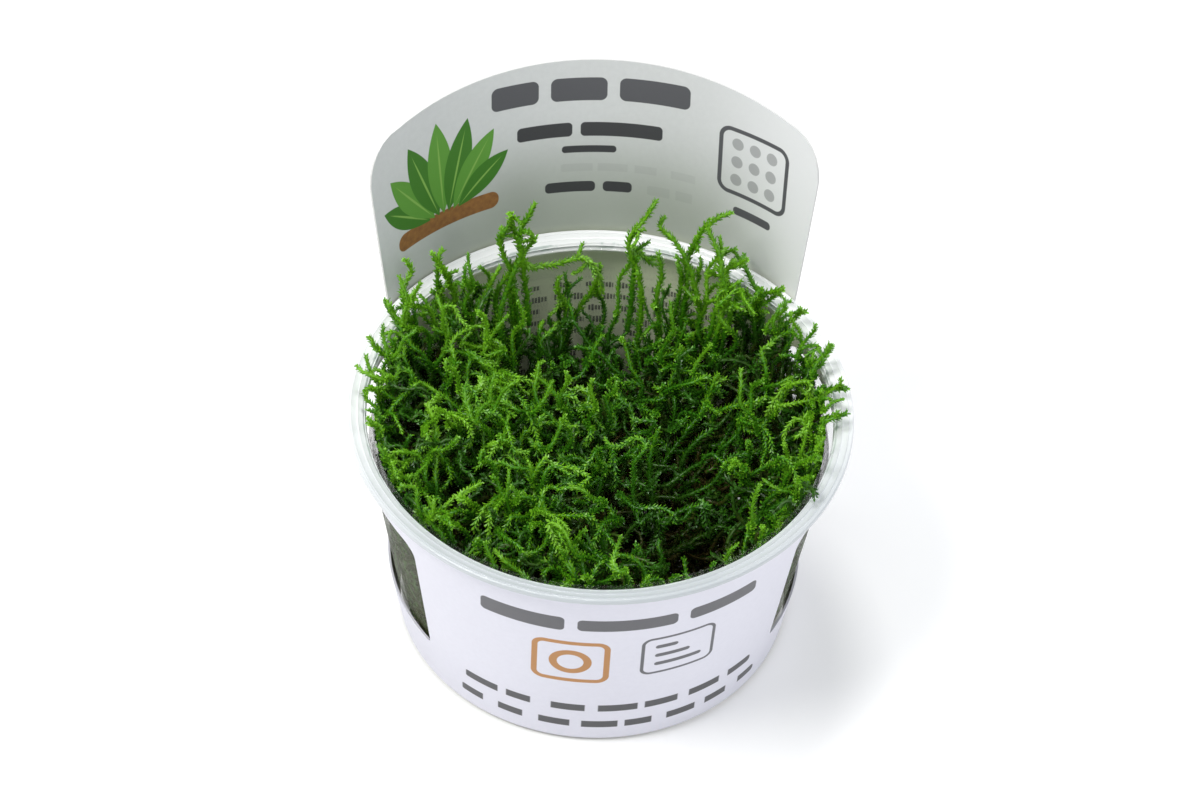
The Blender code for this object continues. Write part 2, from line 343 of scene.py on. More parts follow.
# %% Cup profile
CUP_HEIGHT = 55.5 * MM
RIM_RADIUS = 50.0 * MM
RIM_INSIDE = 46.7 * MM
LIP_BOTTOM = 54.35 * MM
LIP_INSIDE = 49.4 * MM
RIM_LOW = 54.75 * MM
LEDGE = 54.35 * MM
WALL = 0.8 * MM
NECK_RADIUS = 45.9 * MM
STEP_HEIGHT = 45.0 * MM
STEP_DEPTH = 0.3 * MM
FOOT_RADIUS = 39.9 * MM
FOOT_ROUND = 2.0 * MM
RIDGE_HEIGHT = 0.13 * MM
RIDGE_PLACES = (49.05 * MM, 47.7 * MM)
CUP_SEGMENTS = 160
CUP_WELD = 0.0005 * MM
CUP_CREASE = math.radians(50)


def arc(centre_r, centre_z, radius, start, end, steps):
    """Profile points on an arc, its angles in degrees from the direction straight out."""
    turns = [math.radians(mix(start, end, i / steps)) for i in range(steps + 1)]
    return [(centre_r + radius * math.cos(turn), centre_z + radius * math.sin(turn)) for turn in turns]


def rim_ridge(radius):
    """A fine raised ring on top of the rim, which slopes down towards the inside."""
    slope = (CUP_HEIGHT - RIM_LOW) / (RIM_RADIUS - RIM_INSIDE)
    height = RIM_LOW + slope * (radius - RIM_INSIDE)
    half = 0.16 * MM
    return [(radius + half, height), (radius, height + RIDGE_HEIGHT), (radius - half, height)]


shoulder = NECK_RADIUS - STEP_DEPTH
neck_inside = NECK_RADIUS - WALL
profile = [(1 * MM, 0.0), (FOOT_RADIUS - 9 * MM, 0.0)]
profile += arc(FOOT_RADIUS - FOOT_ROUND, FOOT_ROUND, FOOT_ROUND, -90, -8, 6)
wall_stations = (0.25, 0.5, 0.75)
profile += [
    (mix(FOOT_RADIUS, shoulder, t), mix(FOOT_ROUND, STEP_HEIGHT, t)) for t in (*wall_stations, 0.985)
]
profile += [(shoulder + 0.04 * MM, STEP_HEIGHT + 0.15 * MM), (NECK_RADIUS - 0.06 * MM, STEP_HEIGHT + WALL)]
profile += [(NECK_RADIUS, STEP_HEIGHT + 1.2 * MM), (NECK_RADIUS, LEDGE - 2 * WALL)]
profile += [(NECK_RADIUS + 0.15 * MM, LEDGE - 1.35 * WALL), (NECK_RADIUS + 0.5 * MM, LEDGE - WALL)]
profile += [(LIP_INSIDE - 0.15 * MM, LIP_BOTTOM + 0.42 * MM), (LIP_INSIDE, LIP_BOTTOM + 0.3 * MM)]
profile += [(LIP_INSIDE + 0.02 * MM, LIP_BOTTOM + 0.06 * MM), (LIP_INSIDE + 0.12 * MM, LIP_BOTTOM)]
profile += [(RIM_RADIUS - 0.12 * MM, LIP_BOTTOM), (RIM_RADIUS, LIP_BOTTOM + 0.1 * MM)]
profile += arc(RIM_RADIUS - 0.4 * MM, CUP_HEIGHT - 0.42 * MM, 0.4 * MM, 0, 84, 5)
profile += rim_ridge(RIDGE_PLACES[0]) + rim_ridge(RIDGE_PLACES[1])
profile += [(RIM_INSIDE + 0.1 * MM, RIM_LOW), (RIM_INSIDE, RIM_LOW - 0.05 * MM)]
profile += [(RIM_INSIDE - 0.18 * MM, LEDGE + 0.03 * MM), (RIM_INSIDE - 0.4 * MM, LEDGE)]
profile += [(neck_inside + 0.35 * MM, LEDGE), (neck_inside + 0.06 * MM, LEDGE - 0.12 * MM)]
profile += [(neck_inside, LEDGE - 0.5 * MM), (neck_inside, STEP_HEIGHT + 1.1 * MM)]
profile += [(neck_inside - 0.06 * MM, STEP_HEIGHT + 0.7 * MM), (shoulder - WALL, STEP_HEIGHT)]
floor_round = FOOT_ROUND - WALL / 2
profile += [
    (mix(FOOT_RADIUS, shoulder, t) - WALL, mix(FOOT_ROUND, STEP_HEIGHT, t)) for t in reversed(wall_stations)
]
profile += arc(FOOT_RADIUS - WALL - floor_round, WALL + floor_round, floor_round, -8, -90, 6)
profile += [(FOOT_RADIUS - 9 * MM, WALL), (1 * MM, WALL)]
print("profile points:", len(profile))

# %% [markdown]
# Now the profile is walked: the open edge of the ring is drawn up or down to each next height, and scaled to
# its radius about the cup's axis. The ring starts with its middle filled, which is the underside, and the last
# one, on the cup's floor, closes by merging its corners.

# %% Draw the cup out of one ring
deselect_all()
bpy.ops.mesh.primitive_circle_add(vertices=CUP_SEGMENTS, radius=profile[0][0], fill_type="TRIFAN")
cup = bpy.context.object
cup.name = "clear_cup"
edit_mesh("DESELECT")
bpy.ops.mesh.select_non_manifold()
for (r_from, z_from), (r_to, z_to) in zip(profile, profile[1:]):
    bpy.ops.mesh.extrude_edges_move(TRANSFORM_OT_translate={"value": (0, 0, z_to - z_from)})
    bpy.ops.transform.resize(value=(r_to / r_from, r_to / r_from, 1), center_override=(0, 0, 0))
bpy.ops.mesh.merge(type="CENTER")
bpy.ops.mesh.select_all(action="SELECT")
bpy.ops.mesh.remove_doubles(threshold=CUP_WELD)
finish_mesh()
bpy.ops.object.shade_smooth_by_angle(angle=CUP_CREASE)
print("cup:", len(cup.data.polygons), "faces,", [round(v / MM, 2) for v in cup.dimensions], "mm")

# %% [markdown]
# The plastic is clear with a faint green cast, as thick clear plastic has. A plain transmission and index
# of refraction make it see-through. Light doesn't find its way through such a finish to the card behind it,
# so a low alpha lets most of it pass straight, as a thin wall does. The rim is the same plastic, but it
# scatters: it looks milky white from above. So its faces get a second finish, whose colour is painted
# light: a grey front, which is painted shade, and white at the back and sides, the plastic's milky white
# with a painted highlight in it. Where the sealing film was peeled off, the inner edge of the rim keeps a
# ragged trace, and the wall has a very slight ripple from the mould. A third finish is painted shade: a
# dark olive sheet with leafy green patches, on the wall at the card's windows and on the cup's floor,
# where the moss behind the plastic lies in shade. It is colour and alpha only, so the shape stays clean,
# and real moss still shows behind it.

# %% Clear wall, milky rim and painted shade at the windows
RIM_FROM = 52.6 * MM
WALL_CAST = (0.965, 0.985, 0.97)
# The rim's white is the plastic's milky white with a painted highlight in it, and its front colour is painted
# shade.
RIM_MILK_AND_HIGHLIGHT = (0.97, 0.98, 0.99)
RIM_FRONT_SHADE = (0.57, 0.605, 0.63)
FILM_GREY = (0.62, 0.68, 0.66)
# The window and floor colours are painted shade: a dark olive sheet for the shaded moss behind the plastic,
# with leafy green patches.
WINDOW_PAINTED_SHADE = (0.056, 0.064, 0.024)
DARKEST_PAINTED_SHADE = (0.022, 0.028, 0.007)
LEAFY_SHADE_GREEN = (0.040, 0.105, 0.010)
FLOOR_SHADE_SHEET_UP_TO = 4 * MM
SHADE_SHEET_ALPHA = 0.4
WINDOW_LOW, WINDOW_HIGH, WINDOW_HALF = 10 * MM, 46 * MM, 29 * MM
MILKY, PAINTED_SHADE_SHEET = 1, 2


def finish_plastic(name, colour, front_shade, roughness, **values):
    """A see-through finish with the mould's ripple, the film's ragged trace along the inner edge, and a colour
    that turns from the front one to the other towards the back: on the rim that is painted shade at the front
    and a painted highlight at the back and sides.
    """
    made, shader, wire = new_finish(name, **values)
    place = wire.place()
    x, y, z = place.xyz()
    radius = (x * x + y * y) ** 0.5 + (wire.noise(place, 700.0, 4.0) - 0.5) * (0.5 * MM)
    edge = radius.rise(46.25 * MM, 46.45 * MM) * radius.rise(47.05 * MM, 46.85 * MM)
    film = edge * wire.noise(place, 330.0, 4.0).rise(0.47, 0.53)
    clouds = wire.noise(place, 45.0)
    # Painted light: the colour is the front one at the front and the other at the back and sides, which on the
    # rim is painted shade in front and a painted highlight behind.
    colour = (y + (clouds - 0.5) * (30 * MM)).rise(-48 * MM, 26 * MM).paint(front_shade, colour)
    feed(film.paint(colour, FILM_GREY), shader, "Base Color")
    feed(film * 0.4 + roughness, shader, "Roughness")
    ripple = wire.noise(place, 60.0) * 0.25 + film
    feed_bump(ripple, shader, 0.06 * MM, 0.35)
    return made


plastic = finish_plastic(
    "clear plastic", WALL_CAST, WALL_CAST, 0.035,
    Transmission_Weight=0.97, IOR=1.46, Specular_IOR_Level=0.3, Alpha=0.12,
)
milky = finish_plastic("milky rim plastic", RIM_MILK_AND_HIGHLIGHT, RIM_FRONT_SHADE, 0.12, Transmission_Weight=0.12, IOR=1.5)
# Painted shade: a dark olive sheet with leafy patches and blotchy alpha, where the moss behind the windows and
# on the floor lies in shade.
painted_shade_sheet, shader, wire = new_finish("painted shade at the windows", Roughness=0.4, Specular_IOR_Level=0.08)
place = wire.place()
blots = wire.noise(place, 160.0)
leafy = wire.noise(place, 520.0).rise(0.5, 0.6)
tint = (blots.rise(0.4, 0.62) * 0.7).paint(WINDOW_PAINTED_SHADE, DARKEST_PAINTED_SHADE)
feed((leafy * 0.6).paint(tint, LEAFY_SHADE_GREEN), shader, "Base Color")
feed(blots * 0.4 + leafy * 0.22 + SHADE_SHEET_ALPHA, shader, "Alpha")
for finish in (plastic, milky, painted_shade_sheet):
    cup.data.materials.append(finish)
for face in cup.data.polygons:
    place = face.center
    outside = face.normal.x * place.x + face.normal.y * place.y > 0
    at_window = outside and WINDOW_LOW < place.z < WINDOW_HIGH and abs(place.y) < WINDOW_HALF
    on_floor = place.z < FLOOR_SHADE_SHEET_UP_TO and face.normal.z > 0.5
    if place.z > RIM_FROM and math.hypot(place.x, place.y) > RIM_INSIDE - 0.5 * MM:
        face.material_index = MILKY
    elif at_window or on_floor:
        face.material_index = PAINTED_SHADE_SHEET
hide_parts("cup")
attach(cup, "root")
for label, number in (("milky", MILKY), ("painted_shade_sheet", PAINTED_SHADE_SHEET)):
    print(label, "faces:", sum(face.material_index == number for face in cup.data.polygons))

# %% [markdown]
# The sleeve is one piece of card, bent into a ring that tapers under the rim in front and opens wider at
# the back, where a tall panel stands up behind the moss. It starts as two flat grids, the band and the
# panel, whose columns match, so that they join into one sheet. There is no bend operator without a window,
# so each corner of the sheet is then carried onto the cone by its share across and up.

# %% Sleeve measures
CARD_THICKNESS = 0.45 * MM
CARD_BOTTOM = 1.0 * MM
CARD_BAND_TOP = 53.3 * MM
CARD_FOOT_RADIUS = 40.67 * MM
CARD_FRONT_TAPER = 0.13
CARD_BACK_TAPER = 0.195
CARD_TURN_IN = (56.0, 122.0)
PANEL_TOP = 94.3 * MM
PANEL_SAG = 2.8 * MM
PANEL_SAG_ANGLE = 36.0
PANEL_CORNER = 10.5 * MM
PANEL_HALF_ANGLE = 52.5
PANEL_WIDENING = 0.044
PANEL_SPREAD = 9.0
COLUMN_ANGLE = 1.5
BAND_ROWS = 20
PANEL_ROWS = 18
CARD_WELD = 0.005 * MM


def card_radius(azimuth, height):
    taper = mix(CARD_BACK_TAPER, CARD_FRONT_TAPER, smooth_step(abs(azimuth), *CARD_TURN_IN))
    return CARD_FOOT_RADIUS + taper * (height - CARD_BOTTOM)


corner_angle = math.degrees(PANEL_CORNER / card_radius(0, PANEL_TOP))
corner_start = PANEL_HALF_ANGLE - corner_angle


def column_azimuth(azimuth):
    """Columns at the panel's corners, set closer together towards its sides, as on a quarter circle."""
    first = corner_start - corner_start % COLUMN_ANGLE
    if not first < abs(azimuth) < PANEL_HALF_ANGLE:
        return azimuth
    share = (abs(azimuth) - first) / (PANEL_HALF_ANGLE - first)
    return math.copysign(mix(first, PANEL_HALF_ANGLE, math.sin(share * math.pi / 2)), azimuth)


def panel_top(azimuth):
    arch = PANEL_TOP - PANEL_SAG * (min(abs(azimuth), corner_start) / PANEL_SAG_ANGLE) ** 2
    share = max(0.0, abs(azimuth) - corner_start) / corner_angle
    return arch - PANEL_CORNER * (1 - math.sqrt(max(0.0, 1 - share * share)))


def panel_angle(azimuth, height):
    """The panel widens a little from its corners down, which pushes the band's next columns closer."""
    below = max(0.0, panel_top(PANEL_HALF_ANGLE) - max(height, CARD_BAND_TOP))
    span = panel_top(PANEL_HALF_ANGLE) - CARD_BAND_TOP
    widening = PANEL_WIDENING * below / span
    if abs(azimuth) <= PANEL_HALF_ANGLE + 0.01:
        return azimuth * (1 + widening)
    fade = max(0.0, 1 - (abs(azimuth) - PANEL_HALF_ANGLE) / PANEL_SPREAD)
    return azimuth + math.copysign(PANEL_HALF_ANGLE * widening * fade, azimuth)


print("panel corner spans", round(corner_angle, 1), "degrees")

# %% [markdown]
# Both grids are 1 m squares, so a corner's place in its grid is its share across and up. `column_azimuth`
# and `panel_angle` turn the share across into a direction, and the cone's radius at that height does the
# rest.

# %% Two grids become one sheet


def add_grid(columns, rows):
    """A flat grid, 1 m wide and high about the origin, as a new object."""
    deselect_all()
    bpy.ops.mesh.primitive_grid_add(x_subdivisions=columns, y_subdivisions=rows, size=1.0)
    return bpy.context.object


def add_sheet(span, rows, bottom, top_at):
    """A grid laid on the cone: span degrees round, from its bottom to top_at each azimuth."""
    sheet = add_grid(round(span / COLUMN_ANGLE), rows)
    for vertex in sheet.data.vertices:
        azimuth = column_azimuth(span * vertex.co.x)
        height = mix(bottom, top_at(azimuth), vertex.co.y + 0.5)
        azimuth = panel_angle(azimuth, height)
        vertex.co = polar(azimuth, card_radius(azimuth, height), height)
    return sheet


band = add_sheet(360, BAND_ROWS, CARD_BOTTOM, lambda azimuth: CARD_BAND_TOP)
panel = add_sheet(2 * PANEL_HALF_ANGLE, PANEL_ROWS, CARD_BAND_TOP, panel_top)
make_active(band, panel)
bpy.ops.object.join()
sleeve = bpy.context.object
sleeve.name = "printed_sleeve"
edit_mesh()
bpy.ops.mesh.remove_doubles(threshold=CARD_WELD)
finish_mesh()
print("sheet:", len(sleeve.data.vertices), "corners")

# %% [markdown]
# The sheet gets its thickness inwards, and each of its sides its own finish: printed outside, printed
# inside, and a bare cut edge. The two windows are cut by one long block with rounded corners that passes
# through both sides, narrowed at its foot as the windows are.

# %% Thickness and windows
WINDOW_BOTTOM = 12.9 * MM
WINDOW_TOP = 45.2 * MM
WINDOW_FRONT_Y = (-24.8 * MM, -27.6 * MM)
WINDOW_BACK_Y = (24.0 * MM, 27.0 * MM)
WINDOW_CORNERS = (1.0 * MM, 3.2 * MM)
CUTTER_LENGTH = 120 * MM
CORNER_SEGMENTS = 8
CARD_CREASE = math.radians(35)
OUTSIDE, INSIDE, EDGE = range(3)

card_names = ("card outside", "card inside", "card edge")
card_finishes = [new_finish(name, Roughness=0.48, IOR=1.45) for name in card_names]
for finish in card_finishes:
    sleeve.data.materials.append(finish[0])
make_active(sleeve)
shell = sleeve.modifiers.new("thickness", "SOLIDIFY")
shell.thickness = CARD_THICKNESS
shell.offset = -1.0
shell.use_even_offset = True
shell.material_offset = INSIDE
shell.material_offset_rim = EDGE
bpy.ops.object.modifier_apply(modifier="thickness")

deselect_all()
window_middle = (WINDOW_BOTTOM + WINDOW_TOP) / 2
bpy.ops.mesh.primitive_cube_add(size=1.0, location=(0, 0, window_middle), scale=(CUTTER_LENGTH, MM, MM))
cutter = bpy.context.object
bpy.ops.object.transform_apply(location=True, rotation=True, scale=True)
for vertex in cutter.data.vertices:
    high = vertex.co.z > window_middle
    ends = WINDOW_BACK_Y if vertex.co.y > 0 else WINDOW_FRONT_Y
    vertex.co.y = ends[high]
    vertex.co.z = WINDOW_TOP if high else WINDOW_BOTTOM
for at_top, corner in enumerate(WINDOW_CORNERS):
    edit_mesh("DESELECT")
    bpy.ops.mesh.select_mode(type="EDGE")
    bpy.ops.object.mode_set(mode="OBJECT")
    for edge in cutter.data.edges:
        start, end = [cutter.data.vertices[i].co for i in edge.vertices]
        lengthwise = abs(start.x - end.x) > CUTTER_LENGTH / 2
        edge.select = lengthwise and (start.z > window_middle) == bool(at_top)
    bpy.ops.object.mode_set(mode="EDIT")
    bpy.ops.mesh.bevel(offset=corner, segments=CORNER_SEGMENTS, affect="EDGES")
bpy.ops.mesh.select_all(action="SELECT")
finish_mesh()
make_active(sleeve)
cut = sleeve.modifiers.new("windows", "BOOLEAN")
cut.operation = "DIFFERENCE"
cut.solver = "EXACT"
cut.object = cutter
bpy.ops.object.modifier_apply(modifier="windows")
bpy.data.objects.remove(cutter)
bpy.ops.object.shade_smooth_by_angle(angle=CARD_CREASE)
print("sleeve:", len(sleeve.data.polygons), "faces,", [round(v / MM, 2) for v in sleeve.dimensions], "mm")

# %% [markdown]
# Print follows the card, so the sleeve gets its own map: how far round the card a point is, measured from
# the middle of what is printed, and how high it is, both in units of 100 mm. The outside is measured from
# the middle of the front, and the inside from the middle of the back panel.

# %% A map in real measures
MAP_UNIT = 100 * MM
layer = sleeve.data.uv_layers.get("UVMap") or sleeve.data.uv_layers.new(name="UVMap")
for face in sleeve.data.polygons:
    middle = math.atan2(face.center.x, face.center.y)
    outside = face.material_index == OUTSIDE
    for corner in face.loop_indices:
        point = sleeve.data.vertices[sleeve.data.loops[corner].vertex_index].co
        turn = math.atan2(point.x, point.y)
        turn += 2 * math.pi * round((middle - turn) / (2 * math.pi))
        if outside:
            turn = math.copysign(math.pi, middle) - turn
        layer.data[corner].uv = (turn * math.hypot(point.x, point.y) / MAP_UNIT, point.z / MAP_UNIT)
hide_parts("card_sleeve")
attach(sleeve, "root")
print("map corners:", len(layer.data))

# %% [markdown]
# The card's print is plain: bars where a line of words would be, a frame with a few dots, and a small fan
# of green leaves. Each mark is a formula of the map's two numbers, in millimetres: `box` is a rounded bar,
# `bars` a row of them, `all_of` lays marks together, `words` breaks a row into bars of uneven length, and
# `leaf_shape` is a pointed oval.

# %% Marks as formulas
INK_EDGE = 0.08


def box(u, v, left, right, low, high, corner=0.0):
    """1 inside a bar with rounded corners, and 0 outside it."""
    du = ((u - (left + right) / 2).size() - ((right - left) / 2 - corner)).highest(0.0)
    dv = ((v - (low + high) / 2).size() - ((high - low) / 2 - corner)).highest(0.0)
    return ((du * du + dv * dv) ** 0.5).rise(corner + INK_EDGE, corner - INK_EDGE)


def all_of(*marks):
    """1 wherever one of the marks is 1."""
    whole = marks[0]
    for mark in marks[1:]:
        whole = whole.highest(mark)
    return whole


def bars(u, v, low, high, corner, *spans):
    """Bars side by side, each from its left to its right."""
    return all_of(*(box(u, v, left, right, low, high, corner) for left, right in spans))


def frame_line(u, v, left, right, low, high, corner, width):
    """The outline of a rounded box."""
    inner = box(u, v, left + width, right - width, low + width, high - width, corner - width)
    return box(u, v, left, right, low, high, corner) * (1.0 - inner)


def disc(u, v, centre_u, centre_v, radius):
    du, dv = u - centre_u, v - centre_v
    return ((du * du + dv * dv) ** 0.5).rise(radius + INK_EDGE, radius - INK_EDGE)


def words(u, v, left, right, low, high, cell, seed):
    """A row of bars as long as words: each cell along the row holds one, of uneven length."""
    along = (u - left) / cell
    index = along.floor()
    share = along - index
    draw = (index + seed).draw()
    bar = share.rise(0.02, 0.05) * (draw * 0.32 + 0.6 - share).rise(0.0, 0.03)
    return bar * box(u, v, left, right, low, high, 0.9)


def leaf_shape(u, v, root_u, root_v, angle, length, width):
    """A pointed oval from its root, turned by angle in degrees from straight up."""
    turn = math.radians(angle)
    du, dv = u - root_u, v - root_v
    along = (du * math.sin(turn) + dv * math.cos(turn)) / length
    side = (du * math.cos(turn) - dv * math.sin(turn)).size()
    half = along.highest(0.0).lowest(1.0)
    half = half * (1.0 - half) * (2.0 * width)
    return (half - side).rise(0.0, 0.12)


print("ink edge:", INK_EDGE, "mm")

# %% [markdown]
# The card itself is white board with a satin coat. A fine mottle in its colour and relief keeps it from
# looking like plastic, and its cut edge is a little darker and rougher, because it shows the bare fibres.

# %% The board under the print
BOARD = ((0.68, 0.675, 0.75), (0.71, 0.705, 0.78))
INSIDE_BOARD = ((0.66, 0.67, 0.67), (0.70, 0.71, 0.71))
# A lighter board colour for the panel's right side, a painted highlight.
RIGHT_PAINTED_LIGHT = (0.88, 0.88, 0.90)
# A darker board colour, painted shade.
PAINTED_SHADE_BOARD = (0.37, 0.405, 0.345)
# A yellow-green board colour, painted green light from the moss and the plastic's cast.
GREEN_LIT_BOARD = (0.82, 0.87, 0.64)
INK = (0.055, 0.055, 0.06)
GREY_INK = (0.10, 0.10, 0.11)
BROWN_INK = (0.44, 0.20, 0.055)


def board(wire, colours=BOARD):
    """The board's colour, and its map's two numbers in millimetres."""
    place = wire.place()
    fibres = wire.noise(place, 900.0, 3.0)
    clouds = wire.noise(place, 35.0)
    colour = (fibres * 0.5 + clouds * 0.5).rise(0.3, 0.7).paint(*colours)
    u, v, _ = wire.node("ShaderNodeUVMap", uv_map="UVMap").xyz()
    return colour, fibres, u * (MAP_UNIT / MM), v * (MAP_UNIT / MM)


def finish_board(colour, fibres, ink, shader):
    feed(colour, shader, "Base Color")
    feed(0.44 + 0.12 * fibres - 0.10 * ink, shader, "Roughness")
    feed_bump(fibres, shader, 0.02 * MM, 0.4)


material, shader, wire = card_finishes[EDGE]
colour, fibres, u, v = board(wire)
finish_board(fibres.paint((0.60, 0.60, 0.59), (0.74, 0.74, 0.73)), fibres, fibres * 0.0, shader)
print("board colours:", BOARD)

# %% [markdown]
# The front of the card carries a broken grey bar, a brown frame with a ring in it, a grey frame with three
# short bars, and two rows of dashes at the foot. Each kind of ink is one mask, and the masks are laid on in
# turn.

# %% Print on the outside, seen on the front
material, shader, wire = card_finishes[OUTSIDE]
colour, fibres, u, v = board(wire)
grey = all_of(
    box(u, v, -26, -9, 41, 45.6, 1.1),
    bars(u, v, 41.4, 45.2, 1.1, (-6.5, 13), (15.5, 30.5)),
    frame_line(u, v, 6.2, 21.6, 24.2, 37.4, 2.2, 0.7),
    *(box(u, v, 9, 18.8 - 2.6 * row, 27.2 + 3.1 * row, 28.4 + 3.1 * row, 0.6) for row in range(3)),
)
ring = disc(u, v, -7.5, 29.8, 4.2) * (1.0 - disc(u, v, -7.5, 29.8, 2.6))
brown = frame_line(u, v, -15.2, 0.2, 22.4, 37.2, 2.6, 1.2).highest(ring)
black = words(u, v, -30, 33, 11.4, 13.8, 9.4, 3.0).highest(words(u, v, -31, 35, 5.2, 7.6, 8.7, 40.0))
for mask, ink in ((grey, GREY_INK), (brown, BROWN_INK), (black, INK)):
    colour = mask.paint(colour, ink)
finish_board(colour, fibres, all_of(grey, brown, black), shader)
print("outside nodes:", len(material.node_tree.nodes))

# %% [markdown]
# The inside of the card shows twice: on the tall panel, and low down through the clear wall. Painted light
# comes first, in bands that follow height and distance from the middle: the panel is painted lighter towards
# its right side, a painted highlight; painted shade darkens its lower middle, under the moss; the card below
# the rim is painted yellow-green, the green light in the cup and through the plastic; and painted shade
# darkens that part at its sides.

# %% Painted light and shade on the inside
material, shader, wire = card_finishes[INSIDE]
colour, fibres, u, v = board(wire, INSIDE_BOARD)
on_panel = v.rise(54.0, 55.0)
in_cup = v.rise(57.0, 50.0)
low_middle = v.rise(84.0, 58.0) * u.size().rise(52.0, 14.0)
# Painted highlight: the panel is lighter towards its right side.
colour = (u.rise(14.0, 50.0) * 0.8).paint(colour, RIGHT_PAINTED_LIGHT)
# Painted shade: the panel's lower middle is darker, under the moss.
colour = (low_middle * 0.85).paint(colour, PAINTED_SHADE_BOARD)
# Painted light: the card below the rim is yellow-green, the green light in the cup and through the plastic.
colour = in_cup.paint(colour, GREEN_LIT_BOARD)
# Painted shade: the card behind the clear wall is darker at its sides.
colour = (in_cup * u.size().rise(46.0, 60.0) * 0.62).paint(colour, PAINTED_SHADE_BOARD)
print("tinted towards:", GREEN_LIT_BOARD)

# %% [markdown]
# The panel has rows of bars in black and grey, a frame with nine dots, and very faint dashes, as print on
# the other side of a thin card shows through it.

# %% Marks on the panel
black = all_of(
    bars(u, v, 77, 80.2, 0.9, (-15, -3.5), (-1.8, 15)),
    box(u, v, -5.6, 5.6, 73.2, 74.8, 0.7),
    bars(u, v, 64, 66.4, 0.9, (-9, 1.4), (3.0, 9)),
)
dots_u, dots_v = (u - 29.2) / 4.0, (v - 71.0) / 4.0
dots_u, dots_v = dots_u - dots_u.floor() - 0.5, dots_v - dots_v.floor() - 0.5
dots = ((dots_u * dots_u + dots_v * dots_v) ** 0.5).rise(0.34, 0.3)
grey = all_of(
    bars(u, v, 85.2, 90.4, 1.4, (-20.5, -10.5), (-8, 3.5), (6, 20.5)),
    frame_line(u, v, 27, 43.4, 69.5, 84.5, 2.6, 0.9),
    dots * box(u, v, 29.2, 41.2, 71, 83),
    box(u, v, 31, 40, 65.2, 67.0, 0.8),
)
faint = words(u, v, -6, 24, 68.8, 70.6, 7.6, 77.0).highest(words(u, v, 12, 24, 64.0, 66.2, 6.0, 90.0))
print("panel nodes:", len(material.node_tree.nodes))

# %% [markdown]
# Small print fills the card behind the clear wall. Rows are cut into cells as long as words, and each cell
# into ten strokes of random height, so from a step away it looks like print, and close by it says nothing.

# %% Small print behind the clear wall
ROW_HEIGHT = 2.9
WORD_LENGTH = 7.0
WORD_STROKES = 10.0

rows = (v - 8.0) / ROW_HEIGHT
row = rows.floor()
along = (u + 200.0 + row * 7.3) / WORD_LENGTH
cell = along.floor()
share = along - cell
word = share.rise(0.02, 0.05) * ((cell + row * 61.0).draw() * 0.5 + 0.45 - share).rise(0.0, 0.03)
small = along * WORD_STROKES
stroke = small.floor()
tall = (stroke + row * 17.0).draw()
strokes = word * ((rows - row - 0.5).size() - tall * tall * 0.13).rise(0.2, 0.15)
strokes = strokes * (small - stroke).rise(0.15, 0.4)
strokes = strokes * v.rise(43.2, 42.8) * v.rise(8.0, 8.4) * u.size().rise(44.0, 43.6)
print("rows of small print:", round((43 - 8) / ROW_HEIGHT))

# %% [markdown]
# A broad-leaved plant on a piece of wood stands at the left of the panel, drawn by formulas as well. The
# leaves are painted one over another, each with a paler vein, and then the inks go on top.

# %% The drawn plant, and the inks
SPRAY = [
    (-58, 15, 5.2), (-40, 18, 5.6), (-22, 20, 6.0), (-4, 21, 6.0), (14, 20, 6.0), (32, 18, 5.6),
    (50, 15, 5.2),
]
SPRAY_ROOT = (-31.5, 66.5)
LEAF_INKS = ((0.055, 0.20, 0.02), (0.12, 0.33, 0.045), (0.24, 0.46, 0.09))
WOOD_DARK = (0.16, 0.07, 0.03)

colour = (faint * 0.10).paint(colour, GREY_INK)
wood = wire.noise(wire.node("ShaderNodeUVMap", uv_map="UVMap"), 90.0).paint(BROWN_INK, WOOD_DARK)
colour = box(u, v, -44, -19, 63.4, 67.2, 1.8).paint(colour, wood)
for number, (angle, length, width) in enumerate(SPRAY):
    root_u = SPRAY_ROOT[0] + angle / 16
    shape = leaf_shape(u, v, root_u, SPRAY_ROOT[1], angle, length, width)
    vein = leaf_shape(u, v, root_u, SPRAY_ROOT[1], angle, length * 0.92, 0.55)
    colour = shape.paint(colour, LEAF_INKS[number % 2])
    colour = vein.paint(colour, LEAF_INKS[2])
for mask, ink in ((grey * on_panel, GREY_INK), (black * on_panel, INK), (strokes * 0.92, INK)):
    colour = mask.paint(colour, ink)
finish_board(colour, fibres, grey.highest(black), shader)
print("inside nodes:", len(material.node_tree.nodes))

# %% [markdown]
# Moss is a tangle of leafy shoots. On the real plant a shoot is a thin stem set all round with small
# pointed leaves that overlap like scales, so its outline is a saw edge. Particles or hair could scatter
# such leaves, but they are lost when the model is exported, so real leaves are joined into one mesh for
# each clump. The leaf is modelled once: a three-sided cone, whose foot is slanted into a keeled, pointed
# scale. It is closed and has four faces, because there will be many thousands of it.

# %% One leaf
SIDE_SHARE = 0.5
KEEL = 0.3

